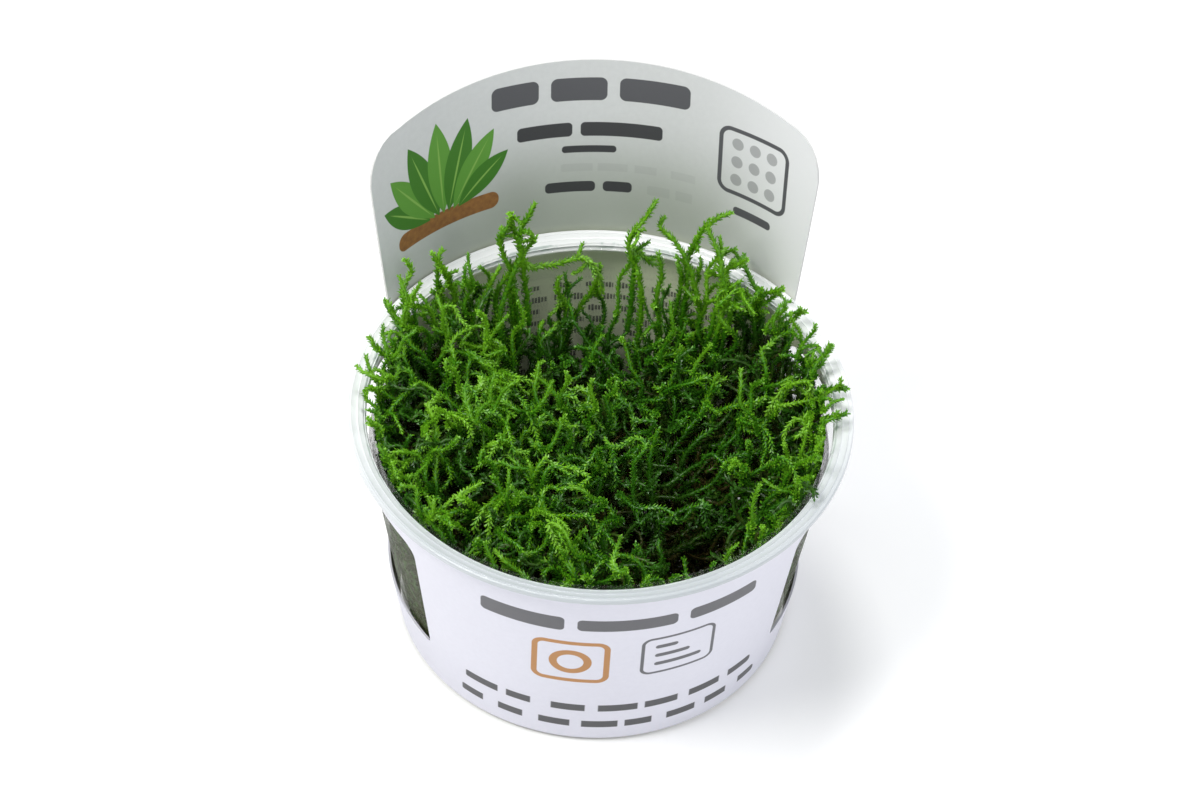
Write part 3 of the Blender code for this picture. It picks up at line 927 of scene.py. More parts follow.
deselect_all()
bpy.ops.mesh.primitive_cone_add(vertices=3, radius1=1.0, radius2=0.0, depth=1.0)
leaf = bpy.context.object
bpy.ops.object.transform_apply(location=True, rotation=True, scale=True)
leaf_mesh = leaf.data
tip_number = max(range(4), key=lambda i: leaf_mesh.vertices[i].co.z)
foot = [i for i in range(4) if i != tip_number]
root_number = max(foot, key=lambda i: leaf_mesh.vertices[i].co.y)
sides = [i for i in foot if i != root_number]
leaf_mesh.vertices[tip_number].co = (0, 0, 1)
leaf_mesh.vertices[root_number].co = (0, 0, 0)
for i in sides:
    leaf_mesh.vertices[i].co = (math.copysign(0.5, leaf_mesh.vertices[i].co.x), KEEL, SIDE_SHARE)
edit_mesh()
bpy.ops.mesh.quads_convert_to_tris()
finish_mesh()
LEAF_POINTS = np.array([vertex.co[:] for vertex in leaf_mesh.vertices])
LEAF_FACES = np.array([face.vertices[:] for face in leaf_mesh.polygons])
bpy.data.objects.remove(leaf)
print("leaf:", len(LEAF_POINTS), "corners,", len(LEAF_FACES), "faces")

# %% [markdown]
# Each clump follows the solid that stands for it: the same tips, at the same places. The numbers are
# azimuth in degrees, distance from the axis and height, both in millimetres. The last number of a clump
# says how many top shoots it has beside them.

# %% Clumps and their main tips
CLUMPS = {
    "moss_back": (-22.5, 22.5, [(2, 39, 55), (11, 37, 61), (3, 22, 52)], 12),
    "moss_back_right": (22.5, 67.5, [(38, 40, 70), (62, 43, 64), (35, 28, 60), (55, 27, 56)], 24),
    "moss_right": (
        67.5, 112.5,
        [(72, 45, 63), (80, 46, 63), (89, 47, 61), (98, 47, 60), (107, 45, 59), (82, 32, 58),
         (100, 30, 50)], 30,
    ),
    "moss_front_right": (
        112.5, 157.5, [(117, 42, 53), (127, 41, 50), (138, 41, 46), (150, 41, 48), (116, 36, 40)], 16,
    ),
    "moss_front": (
        157.5, 202.5,
        [(162, 41, 50), (170, 42, 52), (178, 41, 53), (187, 42, 53), (197, 41, 52), (170, 31, 49),
         (190, 30, 52)], 28,
    ),
    "moss_front_left": (
        202.5, 247.5,
        [(208, 42, 52), (217, 41, 54), (226, 42, 54), (235, 41, 55), (243, 42, 57), (218, 30, 57),
         (236, 28, 60)], 30,
    ),
    "moss_left": (
        247.5, 292.5,
        [(253, 45, 59), (262, 46, 60), (271, 46, 60), (280, 46, 62), (287, 44, 65), (262, 32, 61),
         (280, 30, 64)], 30,
    ),
    "moss_back_left": (
        292.5, 337.5,
        [(297, 43, 72), (304, 43, 66), (322, 40, 66), (307, 29, 65), (326, 28, 60)], 30,
    ),
    "moss_centre": (
        0, 360, [(20, 8, 54), (100, 8, 44), (185, 8, 50), (245, 8, 57), (300, 8, 61), (345, 4, 58)], 20,
    ),
}
CENTRE_RADIUS = 12.2 * MM
HALF_CLUMP = 22.5
print("clumps:", len(CLUMPS), "with", sum(clump[3] for clump in CLUMPS.values()), "top shoots")

# %% [markdown]
# The tall sprigs along the back stand out against the panel, so each of them has a line of its own, through
# points given as azimuth, distance from the axis and height. Some fork, loop, or arch over sideways.

# %% Sprigs along the back
SPRIGS = [
    [(-34, 34, 52), (-31, 35, 55), (-27, 36, 60), (-23, 37, 64), (-23, 38, 68), (-20, 39, 72),
     (-16, 40, 75)],
    [(-22, 38, 62), (-23, 39, 66), (-24, 40, 70), (-25, 40, 74)],
    [(-26, 37, 58), (-28, 39, 64), (-28, 40, 68), (-24, 40, 69)],
    [(-27, 37, 57), (-20, 40, 61), (-17, 40, 64), (-20, 41, 67)],
    [(-31, 38, 53), (-23, 38, 60), (-18, 38, 58), (-10, 38, 58), (-3, 38, 59), (2, 38, 55), (4, 38, 48)],
    [(18, 32, 45), (18, 33, 53), (16, 34, 59), (13, 35, 63), (12, 36, 67), (15, 38, 70), (17, 39, 72),
     (19, 41, 75)],
    [(14, 35, 61), (13, 38, 62), (17, 38, 60), (21, 38, 61)],
    [(38, 36, 50), (36, 36, 56), (33, 37, 60), (29, 38, 64), (25, 39, 66), (20, 40, 68), (21, 42, 70)],
    [(31, 38, 55), (29, 40, 60), (30, 41, 64), (32, 41, 68), (34, 42, 73)],
    [(48, 36, 50), (48, 37, 57), (44, 37, 64), (41, 38, 68), (38, 39, 70), (35, 40, 72), (38, 42, 75),
     (41, 43, 76)],
    [(46, 37, 57), (42, 40, 62), (45, 41, 65), (47, 43, 66)],
    [(43, 38, 60), (41, 41, 61), (38, 42, 63), (40, 43, 66)],
    [(54, 41, 44), (52, 42, 51), (50, 43, 56), (53, 45, 59), (57, 46, 62)],
    [(26, 32, 42), (25, 33, 48), (23, 34, 53), (23, 36, 59), (21, 37, 64)],
    [(27, 35, 40), (28, 36, 46), (29, 37, 52), (29, 38, 57), (26, 39, 61)],
    [(-46, 41, 44), (-45, 43, 52), (-46, 44, 60), (-44, 45, 65), (-41, 46, 66)],
    [(-58, 42, 48), (-58, 44, 56), (-57, 46, 63), (-53, 46, 66), (-54, 47, 70)],
    [(-47, 40, 47), (-42, 42, 54), (-43, 43, 60), (-46, 43, 65), (-48, 44, 70)],
    [(-43, 36, 44), (-40, 38, 50), (-36, 38, 54), (-31, 39, 58), (-27, 40, 60)],
    [(-64, 42, 48), (-64, 44, 54), (-61, 46, 58), (-61, 47, 62)],
    [(-73, 42, 46), (-71, 44, 54), (-74, 46, 60), (-72, 48, 62)],
    [(63, 43, 46), (63, 45, 53), (62, 46, 57), (65, 47, 61)],
    [(77, 43, 46), (76, 45, 54), (78, 46, 58), (77, 48, 62)],
    [(88, 43, 46), (87, 45, 54), (89, 47, 58), (92, 49, 60)],
    [(101, 43, 45), (101, 45, 52), (99, 46, 57), (97, 49, 59)],
    [(-12, 34, 30), (-9, 35, 36), (-4, 37, 44), (1, 38, 50), (3, 38, 54)],
    [(-7, 33, 32), (-10, 34, 40), (-8, 36, 46), (-11, 36, 52), (-10, 37, 56)],
]
HOLLOW_STEMS = [
    [(5, -15, 18), (13, -13, 24), (22, -11, 29), (30, -8, 34), (37, -4, 41)],
    [(6, -4, 20), (9, -2, 28), (14, 3, 35), (21, 9, 43), (25, 14, 50)],
    [(10, -26, 16), (12, -18, 24), (11, -10, 34), (10, -4, 42), (12, 0, 49)],
    [(24, -22, 14), (28, -17, 20), (33, -14, 28), (38, -10, 38)],
    [(14, -30, 14), (20, -28, 20), (27, -26, 25), (33, -25, 33)],
]
print("sprigs:", len(SPRIGS), "and stems in the hollow:", len(HOLLOW_STEMS))

# %% [markdown]
# The moss isn't level. It is high round the wall, lower in front, opens into a dark hollow right of the
# middle, and is thin along the back, where the card shows through the clear wall. The canopy's height is
# listed at some forty places, and between them it is a mean in which the nearest places count most.

# %% Height of the canopy
CANOPY_FALL = -1.8
CANOPY_BLEND = 6
CANOPY = [
    (-44, 0, 58), (-42, 18, 60), (-41, -18, 56), (-30, 0, 54), (-22, 12, 50), (-20, -12, 51),
    (-30, -28, 52),
    (-12, -32, 50), (-10, -20, 49), (0, -42, 50), (0, -31, 49), (9, -41, 42), (18, -37, 28),
    (28, -31, 26),
    (36, -23, 32), (41, -14, 52), (45, 0, 59), (43, 16, 60), (34, 28, 57), (20, 34, 46), (8, 40, 30),
    (-6, 42, 27),
    (-16, 40, 33), (-27, 35, 53), (0, 30, 37), (-12, 26, 44), (2, 18, 37), (12, 20, 42), (-8, 8, 46),
    (4, 2, 44),
    (13, 6, 34), (16, -8, 24), (20, -20, 22), (28, -8, 28), (8, -24, 36), (33, 8, 48), (-14, 18, 45),
    (-30, 24, 56),
    (36, -2, 46),
]


def canopy(x, y):
    """The height of the moss's top over a place, in metres."""
    total = weights = 0.0
    for listed_x, listed_y, height in CANOPY:
        weight = ((x / MM - listed_x) ** 2 + (y / MM - listed_y) ** 2 + CANOPY_BLEND) ** CANOPY_FALL
        total += weight * height
        weights += weight
    return total / weights * MM


for label, place in (("middle", (0, 0)), ("hollow", (0.02, -0.015))):
    print("canopy in the", label, round(canopy(*place) / MM, 1), "mm")

# %% [markdown]
# A shoot's line is walked in short steps, as a tip grows: the direction keeps turning a little, by an
# amount that itself drifts, and leans back towards the light. It stays inside the cup below the rim, and
# bends over where it reaches the canopy. That gives the loose curls, arches and hooks of the real tangle.

# %% Lines that grow
STEP = 1.1 * MM
WALL_CLEAR = 0.9 * MM
GOAL_PULL = 0.16
TURN_KEPT, TURN_NEW = 0.82, 0.57
BEND_OVER = 0.4
RIM_CLEAR = 57.0 * MM
WAVES = ((4, 5.5, 0.2), (7, 10, 0.5), (12, 20, 1.2))
ROOT_DEPTH = 16 * MM
ROOT_SPREAD = 0.75
MAIN_WAVE, CENTRE_WAVE, FINE_WAVE = 1.9, 0.8, 0.8
MAIN_CURL, FINE_CURL = 7.0, 17.0
TREMBLE = 0.12 * MM


def wall_radius(height):
    """The cup's inner wall."""
    share = (height - FOOT_ROUND) / (STEP_HEIGHT - FOOT_ROUND)
    return mix(FOOT_RADIUS, NECK_RADIUS - STEP_DEPTH, min(1.0, max(0.0, share))) - WALL


def keep_in_cup(place):
    """The point moved in from the wall or up from the floor, if it is too near."""
    place.z = max(place.z, WALL + 0.8 * MM)
    reach = math.hypot(place.x, place.y)
    limit = wall_radius(place.z) - WALL_CLEAR if place.z < RIM_CLEAR else RIM_RADIUS - WALL_CLEAR
    if reach > limit:
        place.xy *= limit / reach
    return place


def any_way(rng, size=1.0):
    return Vector((rng.gauss(0, size), rng.gauss(0, size), rng.gauss(0, size)))


def wander(rng, start, heading, length, curl, lift, ceiling=None, goal=None):
    """Points along a growing line, which heads for its goal where it has one."""
    points = [start.copy()]
    heading = heading.normalized()
    turn = any_way(rng)
    for _ in range(max(3, round(length / STEP))):
        turn = turn * TURN_KEPT + any_way(rng, TURN_NEW)
        heading = heading + turn * curl + Vector((0, 0, lift))
        if goal is not None:
            heading += (goal - points[-1]).normalized() * GOAL_PULL
        if ceiling is not None and points[-1].z > ceiling:
            heading.z -= BEND_OVER
        heading.normalize()
        points.append(keep_in_cup(points[-1] + heading * STEP))
    return points


def sway(rng, points, size):
    """The line with waves on it, from short crinkles to long bends, which grow from its root."""
    waves = []
    for shortest, longest, share in WAVES:
        length = rng.uniform(shortest, longest) * MM
        ways = [any_way(rng).normalized() * size * share for _ in range(2)]
        waves.append((2 * math.pi * STEP / length, rng.uniform(0, 2 * math.pi), ways))
    swayed = []
    for i, place in enumerate(points):
        grown = min(1.0, i / 5)
        place = place.copy()
        for turn, phase, (one, other) in waves:
            place += grown * (one * math.sin(turn * i + phase) + other * math.cos(turn * i + phase))
        swayed.append(keep_in_cup(place))
    return swayed


def main_line(rng, clump, tip):
    """The line of a main shoot: the one that the clump's solid has, with finer curls on it."""
    first, last = clump[:2]
    azimuth, radius, tip_height = tip
    in_centre = last - first == 360
    end = polar(azimuth, radius * MM, tip_height * MM)
    root_azimuth = azimuth if in_centre else mix((first + last) / 2, azimuth, ROOT_SPREAD)
    root = polar(root_azimuth, 0.9 * radius * MM, 0)
    root.z = canopy(root.x, root.y) - ROOT_DEPTH
    phase = rng.uniform(0, 2 * math.pi)
    wave = (CENTRE_WAVE if in_centre else MAIN_WAVE) * MM
    steps = max(8, round((end - root).length / STEP))
    points = []
    for i in range(steps + 1):
        t = i / steps
        place = root.lerp(end, t)
        turn = MAIN_CURL * t + phase
        place += Vector((math.sin(turn), math.cos(0.8 * turn), 0)) * wave * math.sin(math.pi * t)
        fine = FINE_CURL * t + 3 * phase
        curl = Vector((math.cos(fine), math.sin(1.3 * fine), 0.5 * math.sin(fine)))
        place += curl * FINE_WAVE * MM * min(1.0, 3 * t)
        points.append(keep_in_cup(place))
    return points


def sprig_line(rng, knots):
    """A smooth line through the points, with a small tremble, from a root deep in the moss."""
    root = knots[0] * 0.9
    root.z = max(5 * MM, knots[0].z - ROOT_DEPTH)
    knots = [root + (root - knots[0]), root, *knots, knots[-1] * 2 - knots[-2]]
    points = []
    for before, start, end, after in zip(knots, knots[1:], knots[2:], knots[3:]):
        steps = max(2, round((end - start).length / STEP))
        for i in range(steps):
            t = i / steps
            place = 0.5 * (
                2 * start + (end - before) * t + (2 * before - 5 * start + 4 * end - after) * t**2
                + (3 * start - before - 3 * end + after) * t**3
            )
            points.append(keep_in_cup(place + any_way(rng, TREMBLE)))
    return points


print("step:", round(STEP / MM, 2), "mm")

# %% [markdown]
# A shoot is a thin stem with its leaves set round it in a spiral, each at the golden angle from the last.
# They overlap closely, so that only their points stand off, lie closer and get shorter towards the tip, and
# vary a little. The stem has five sides where it is seen well and three deep in the moss. Each corner keeps
# two numbers for its colour: how young the growth is, with painted shade in it, and the shoot's tone.

# %% From a line to a leafy shoot
STEM_RADII = (0.42 * MM, 0.28 * MM)
STEM_SIDES, HIDDEN_SIDES = 5, 3
UNDER_DENSITY = 2.0
LEAF_LENGTH = 0.88 * MM
LEAF_WIDTH = 0.54 * MM
LEAF_SPREAD, TIP_SPREAD, SPREAD_JITTER = 40.0, 32.0, 9.0
TIP_SIZE = 0.75
TIP_REACH = 3.0 * MM
TIP_LEAVES = 4
# The point of each leaf gets a brighter colour than its foot.
TIP_BRIGHTER = 0.24
GOLDEN_ANGLE = math.radians(137.5)


def unit(rows):
    return rows / np.maximum(np.linalg.norm(rows, axis=-1, keepdims=True), 1e-12)


def line_frames(points):
    """The direction along a line at each point, and a side direction that turns as little as it can."""
    along = unit(np.gradient(points, axis=0))
    sides = np.empty_like(along)
    side = np.cross(along[0], (0.31, 0.87, 0.38))
    for i, direction in enumerate(along):
        side = side - direction * side.dot(direction)
        side /= max(np.linalg.norm(side), 1e-12)
        sides[i] = side
    return along, sides, np.cross(along, sides)


class Clump:
    """The corners, faces and colour numbers of one clump, gathered shoot by shoot."""

    def __init__(self, name):
        self.draws = np.random.default_rng(sum(map(ord, name)))
        self.parts = []
        self.corners = 0

    def add(self, points, faces, youth_and_shade, tone, smooth):
        self.parts.append((points, faces + self.corners, youth_and_shade, np.full(len(points), tone), smooth))
        self.corners += len(points)

    def add_shoot(self, line, youth_and_shade_values, density, tone, thickness=1.0):
        """A stem along the line and its leaves, density of them to the millimetre."""
        points = np.array([place[:] for place in line])
        frames = line_frames(points)
        count = len(points)
        shares = np.linspace(0, 1, count)
        radii = np.interp(shares, (0, 1), STEM_RADII) * thickness
        sides = STEM_SIDES if density > UNDER_DENSITY else HIDDEN_SIDES
        turns = np.arange(sides) * 2 * math.pi / sides
        ring = frames[1][:, None] * np.cos(turns)[:, None] + frames[2][:, None] * np.sin(turns)[:, None]
        stem = (points[:, None] + ring * radii[:, None, None]).reshape(-1, 3)
        starts = np.arange(count - 1)[:, None] * sides
        low = (starts + np.arange(sides)).ravel()
        after = (starts + (np.arange(sides) + 1) % sides).ravel()
        corners = ((low, after, after + sides), (low, after + sides, low + sides))
        walls = [np.column_stack(three) for three in corners]
        last = sides * (count - 1)
        ends = [[0, k + 1, k] for k in range(1, sides - 1)]
        ends += [[last, last + k, last + k + 1] for k in range(1, sides - 1)]
        youth_and_shade_values = np.interp(shares, np.linspace(0, 1, len(youth_and_shade_values)), youth_and_shade_values)
        self.add(stem, np.vstack([*walls, ends]), np.repeat(youth_and_shade_values, sides) - 0.1, tone, True)
        self.add_leaves(points, frames, radii, youth_and_shade_values, density, tone, thickness)

    def add_leaves(self, points, frames, radii, youth_and_shade_values, density, tone, thickness):
        gaps = np.linalg.norm(np.diff(points, axis=0), axis=1)
        lengths = np.concatenate([[0], np.cumsum(gaps)])
        total = lengths[-1]
        count = max(4, round(density * total / MM))
        t = (np.arange(count) + self.draws.uniform(-0.3, 0.3, count)) / count
        t = np.clip(np.concatenate([t, np.linspace(1 - 0.6 * MM / total, 1, TIP_LEAVES)]), 0, 1)
        count = len(t)
        at = t * total
        place = np.column_stack([np.interp(at, lengths, points[:, k]) for k in range(3)])
        along, side, other = [
            unit(np.column_stack([np.interp(at, lengths, frame[:, k]) for k in range(3)]))
            for frame in frames
        ]
        turn = np.arange(count) * GOLDEN_ANGLE + self.draws.uniform(-0.35, 0.35, count)
        outwards = side * np.cos(turn)[:, None] + other * np.sin(turn)[:, None]
        to_tip = np.clip((1 - t) * total / TIP_REACH, 0, 1)
        spread = mix(TIP_SPREAD, LEAF_SPREAD, to_tip) + self.draws.normal(0, SPREAD_JITTER, count)
        spread = np.radians(spread)
        pointing = along * np.cos(spread)[:, None] + outwards * np.sin(spread)[:, None]
        breadth = np.cross(along, outwards)
        inwards = np.cross(pointing, breadth)
        inwards *= np.sign((inwards * -outwards).sum(1))[:, None]
        taper = mix(TIP_SIZE, 1.0, to_tip)
        length = LEAF_LENGTH * thickness * taper * self.draws.uniform(0.8, 1.2, count)
        width = LEAF_WIDTH * thickness * taper * self.draws.uniform(0.85, 1.15, count)
        root = place + outwards * np.interp(t, (0, 1), (radii[0], radii[-1]))[:, None] * 0.8
        corners = root[:, None]
        for direction, column, size in ((breadth, 0, width), (inwards, 1, width), (pointing, 2, length)):
            corners = corners + direction[:, None] * (LEAF_POINTS[:, column] * size[:, None])[:, :, None]
        youth_and_shade = np.interp(t, np.linspace(0, 1, len(youth_and_shade_values)), youth_and_shade_values) + self.draws.normal(0, 0.09, count)
        youth_and_shade = youth_and_shade[:, None] + np.where(LEAF_POINTS[:, 2] > 0.9, TIP_BRIGHTER, 0.0)
        faces = (LEAF_FACES + 4 * np.arange(count)[:, None, None]).reshape(-1, 3)
        self.add(corners.reshape(-1, 3), faces, youth_and_shade.ravel(), tone, False)

    def build(self, name):
        """One mesh object of everything gathered, kept off the cup's wall, with its colour numbers."""
        points = np.vstack([part[0] for part in self.parts])
        faces = np.vstack([part[1] for part in self.parts])
        reach = np.hypot(points[:, 0], points[:, 1])
        share = np.clip((points[:, 2] - FOOT_ROUND) / (STEP_HEIGHT - FOOT_ROUND), 0, 1)
        limit = mix(FOOT_RADIUS, NECK_RADIUS - STEP_DEPTH, share) - WALL - 0.1 * MM
        limit = np.where(points[:, 2] < RIM_CLEAR - 1 * MM, limit, 1.0)
        points[:, :2] *= np.minimum(1.0, limit / np.maximum(reach, 1e-9))[:, None]
        points[:, 2] = np.maximum(points[:, 2], WALL + 0.1 * MM)
        mesh = bpy.data.meshes.new(name)
        mesh.vertices.add(len(points))
        mesh.vertices.foreach_set("co", points.astype(np.float32).ravel())
        mesh.loops.add(faces.size)
        mesh.loops.foreach_set("vertex_index", faces.astype(np.int32).ravel())
        mesh.polygons.add(len(faces))
        mesh.polygons.foreach_set("loop_start", np.arange(0, faces.size, 3, dtype=np.int32))
        smooth = np.concatenate([np.full(len(part[1]), part[4]) for part in self.parts])
        mesh.polygons.foreach_set("use_smooth", smooth)
        mesh.update(calc_edges=True)
        for label, column in (("youth_and_shade", 2), ("tone", 3)):
            numbers = np.concatenate([part[column] for part in self.parts])
            layer = mesh.attributes.new(label, "FLOAT", "POINT")
            layer.data.foreach_set("value", np.clip(numbers, 0, 1).astype(np.float32))
        made = bpy.data.objects.new(name, mesh)
        bpy.context.scene.collection.objects.link(made)
        return made


print("leaf length:", round(LEAF_LENGTH / MM, 2), "mm")

# %% [markdown]
# Now the clumps grow, in layers: a mat on the floor, undergrowth, a curtain at the windows, a collar up the
# wall, a few uprights at the back, and a middle and a top layer. Each is a few lines on the same tools. A
# place's colour number holds its youth and painted shade: it is painted darker with the place's depth under
# the canopy, so the layers shade into one another, and darker round the hollow. The top shoots fork and
# carry short side shoots.

# %% How shoots are drawn
DENSITY = 6.4
OLD_HEIGHT = 12 * MM
YOUNG_HEIGHT = 56 * MM
# Painted shade: the colour number is darker deeper under the canopy, and round the hollow right of the middle.
SHADE_DEPTH = 11 * MM
SHADE = 0.6
DARKNESS = 0.24
LEAST_YOUTH = 0.03
DARK_PLACE = Vector((6, -20)) * MM
DARK_REACH = 27 * MM
GROWN_RADIUS = 45 * MM
RING_SHARE = 0.28


def youth_and_shade_at(place):
    """How young the growth is, with painted shade: bright near the top of the moss, dark and brown low in the
    cup, and painted darker deep under the canopy and round the hollow.
    """
    share = (place.z - OLD_HEIGHT) / (YOUNG_HEIGHT - OLD_HEIGHT)
    depth = min(1.0, max(0.0, canopy(place.x, place.y) - place.z) / SHADE_DEPTH)
    dark = math.exp(-((place.xy - DARK_PLACE).length / DARK_REACH) ** 2)
    return share * (1 - SHADE * depth) * (1 - DARKNESS * dark)


def youth_and_shade_along(line, most=1.0, gain=0.0):
    shares = [youth_and_shade_at(place) for place in line[::3]]
    last = len(shares) - 1
    return [min(most, max(LEAST_YOUTH, share + gain * k / last)) for k, share in enumerate(shares)]


def add_shoot(gathered, line, tone, thickness=1.0, gain=0.15):
    gathered.add_shoot(line, youth_and_shade_along(line, gain=gain), DENSITY, tone, thickness)


def fork(rng, line, at, length, spread, curl=0.16):
    """A line that leaves another one at a slant."""
    start = round(at * (len(line) - 2))
    heading = (line[start + 1] - line[start]).normalized() + any_way(rng, spread)
    return wander(rng, line[start], heading, length, curl, 0.03)


def add_branch(rng, gathered, line, tone, thickness=1.0):
    """A shoot with a fork or two and some short side shoots."""
    add_shoot(gathered, line, tone, thickness)
    for _ in range(rng.choice((0, 0, 1, 1))):
        length = rng.uniform(6, 12) * MM
        side = sway(rng, fork(rng, line, rng.uniform(0.4, 0.85), length, 0.4, 0.3), 0.6 * MM)
        add_shoot(gathered, side, tone, 0.95 * thickness)
    for _ in range(rng.choice((0, 0, 1, 1))):
        length = rng.uniform(2.0, 4.5) * MM
        side = fork(rng, line, rng.uniform(0.4, 0.97), length, 0.5, 0.4)
        add_shoot(gathered, side, tone, 0.9 * thickness, 0.3)


def place_in(rng, clump, outer=0.97):
    """A random place in a clump's share of the cup, as x and y."""
    first, last = clump[:2]
    azimuth = rng.uniform(first, last)
    if last - first == 360:
        place = polar(azimuth, CENTRE_RADIUS * math.sqrt(rng.random()), 0)
    else:
        place = polar(azimuth, GROWN_RADIUS * math.sqrt(rng.uniform(RING_SHARE**2, outer**2)), 0)
    return place.x, place.y


def azimuths_in(rng, clump, arcs, gap):
    """Random azimuths where a clump and the arcs cross, one to each gap, in degrees."""
    first, last = clump[:2]
    for start, end in arcs:
        low, high = max(first % 360, start), min((last - 0.01) % 360, end)
        for _ in range(max(0, round((high - low) / gap))):
            yield rng.uniform(low, high)


print("leaves to the millimetre:", DENSITY)

# %% [markdown]
# The lowest layers are seen only in gaps and through the windows. So their shoots are coarse and few, with
# fewer leaves, and their youth is held down to keep them dark and half brown.

# %% The mat, the undergrowth and the curtain behind the windows
MAT_COUNT, MAT_TOP, MAT_DENSITY = 46, 15 * MM, 1.4
UNDER_COUNT = 32
CURTAIN = ((48, 135), (225, 312))
CURTAIN_GAP = 0.67


def add_mat(rng, gathered, clump):
    """Old brown growth, flat on the cup's floor."""
    for _ in range(MAT_COUNT):
        x, y = place_in(rng, clump, outer=0.9)
        start = keep_in_cup(Vector((0.9 * x, 0.9 * y, rng.uniform(2, 15) * MM)))
        line = wander(rng, start, any_way(rng), 13 * MM, 0.3, 0.0, MAT_TOP)
        gathered.add_shoot(line, (LEAST_YOUTH, 0.1, LEAST_YOUTH), MAT_DENSITY, rng.random(), 2.1)


def add_undergrowth(rng, gathered, clump):
    for _ in range(UNDER_COUNT):
        x, y = place_in(rng, clump)
        top = canopy(x, y) * rng.uniform(0.5, 0.8)
        start = keep_in_cup(Vector((0.93 * x, 0.93 * y, rng.uniform(2, 7) * MM)))
        line = wander(rng, start, Vector((0, 0, 1)) + any_way(rng, 0.5), 1.25 * top, 0.22, 0.08, top)
        gathered.add_shoot(line, youth_and_shade_along(line, 0.4), UNDER_DENSITY, rng.random(), 1.4)


def add_curtain(rng, gathered, clump):
    """Dark shoots against the wall, where a window shows them."""
    for azimuth in azimuths_in(rng, clump, CURTAIN, CURTAIN_GAP):
        start = keep_in_cup(polar(azimuth, 60 * MM, rng.uniform(2, 34) * MM))
        heading = Vector((start.x, start.y, 0)).normalized() * 0.25 + Vector((0, 0, 1)) + any_way(rng, 0.4)
        line = wander(rng, start, heading, 28 * MM, 0.2, 0.08, 54 * MM)
        line = [keep_in_cup(Vector((1.06 * place.x, 1.06 * place.y, place.z))) for place in line]
        gathered.add_shoot(line, youth_and_shade_along(line, 0.45), UNDER_DENSITY, rng.random(), 1.5)


print("undergrowth shoots:", UNDER_COUNT * len(CLUMPS))

# %% [markdown]
# Real shoots press against the wall and climb it to the rim. The collar's shoots start inside and head for
# points at the wall, some of them just over the rim.

# %% The collar of shoots that press against the wall
COLLAR = ((30, 140), (215, 330))
COLLAR_GAP = 2.4


def add_collar(rng, gathered, clump):
    """Shoots that lean on the wall up to the rim, and a few of them over it."""
    for azimuth in azimuths_in(rng, clump, COLLAR, COLLAR_GAP):
        start = polar(azimuth + rng.uniform(-8, 8), rng.uniform(34, 41) * MM, rng.uniform(28, 40) * MM)
        tip = polar(azimuth, 47 * MM, rng.uniform(50, 61) * MM)
        way = tip - start
        line = wander(rng, start, way, way.length * 1.1, 0.1, 0.0, 60 * MM, tip)
        line = sway(rng, line, rng.uniform(0.4, 0.9) * MM)
        add_shoot(gathered, line, rng.random(), rng.uniform(0.95, 1.2))


print("a collar shoot every", COLLAR_GAP, "degrees")

# %% [markdown]
# The middle and the top layer are the same kind of shoot: from a root inside the moss it rises towards the
# wall, and its end wanders on. At the back, where the moss is thin, shoots stand more upright, and where
# the canopy is low there are fewer.

# %% Middle and top layers
LAYER_SHARE = 0.9
MIDDLE_DENSITY = 3.6
STEEP_FROM, STEEP_OVER = 6, 16


def add_layer(rng, gathered, clump, count, drop, lengths, inwards, branched):
    """Shoots that rise from inside the moss towards the wall, their tips about drop mm under the canopy."""
    for _ in range(count):
        x, y = place_in(rng, clump)
        top = canopy(x, y)
        if rng.random() > (top / MM - 14) / 34:
            continue
        tip = keep_in_cup(Vector((x, y, top - drop * MM + rng.gauss(0, 2.4) * MM)))
        rise = min(tip.z - 6 * MM, rng.uniform(*lengths) * MM)
        steep = min(1.0, max(0.0, (y / MM - STEEP_FROM) / STEEP_OVER))
        inner = mix(rng.uniform(*inwards), 0.9, steep)
        root = Vector((x * inner, y * inner, tip.z - rise))
        root += Vector((rng.gauss(0, 4), rng.gauss(0, 4), 0)) * MM
        way = tip - root
        heading = way.normalized() + any_way(rng, 0.3)
        length = way.length * rng.uniform(1.0, 1.15)
        curl = rng.uniform(0.06, 0.14)
        line = wander(rng, keep_in_cup(root), heading, length, curl, 0.0, top + 4 * MM, tip)
        onward = line[-1] - line[-2] + Vector((rng.gauss(0, 0.5), rng.gauss(0, 0.5), 0.9 * steep)) * MM
        reach = rng.uniform(5, 17) * mix(1.0, 0.6, steep) * MM
        ceiling = top + mix(1, 7, steep) * MM
        line += wander(rng, line[-1], onward, reach, mix(0.3, 0.18, steep), 0.0, ceiling)[1:]
        line = sway(rng, line, rng.uniform(0.8, 1.9) * MM)
        if branched:
            add_branch(rng, gathered, line, rng.random(), rng.uniform(0.95, 1.2))
        else:
            youth_and_shade_values = youth_and_shade_along(line, 0.5)
            gathered.add_shoot(line, youth_and_shade_values, MIDDLE_DENSITY, rng.random(), rng.uniform(1.0, 1.25))


print("layers have", LAYER_SHARE, "of a clump's listed number of shoots")

# %% [markdown]
# In front of the back wall single thin shoots stand free, with the card showing between them. Last, one
# function lays all layers of a clump together: first its main shoots, then the sprigs that belong to its
# part of the back.

# %% Uprights, and whole clumps
UPRIGHT_COUNT = 25
UPRIGHT_REACH = 38
UPRIGHT_DENSITY = 4.6
SPRIG_THICKNESS = 1.32
SPRIG_SIDES = 3


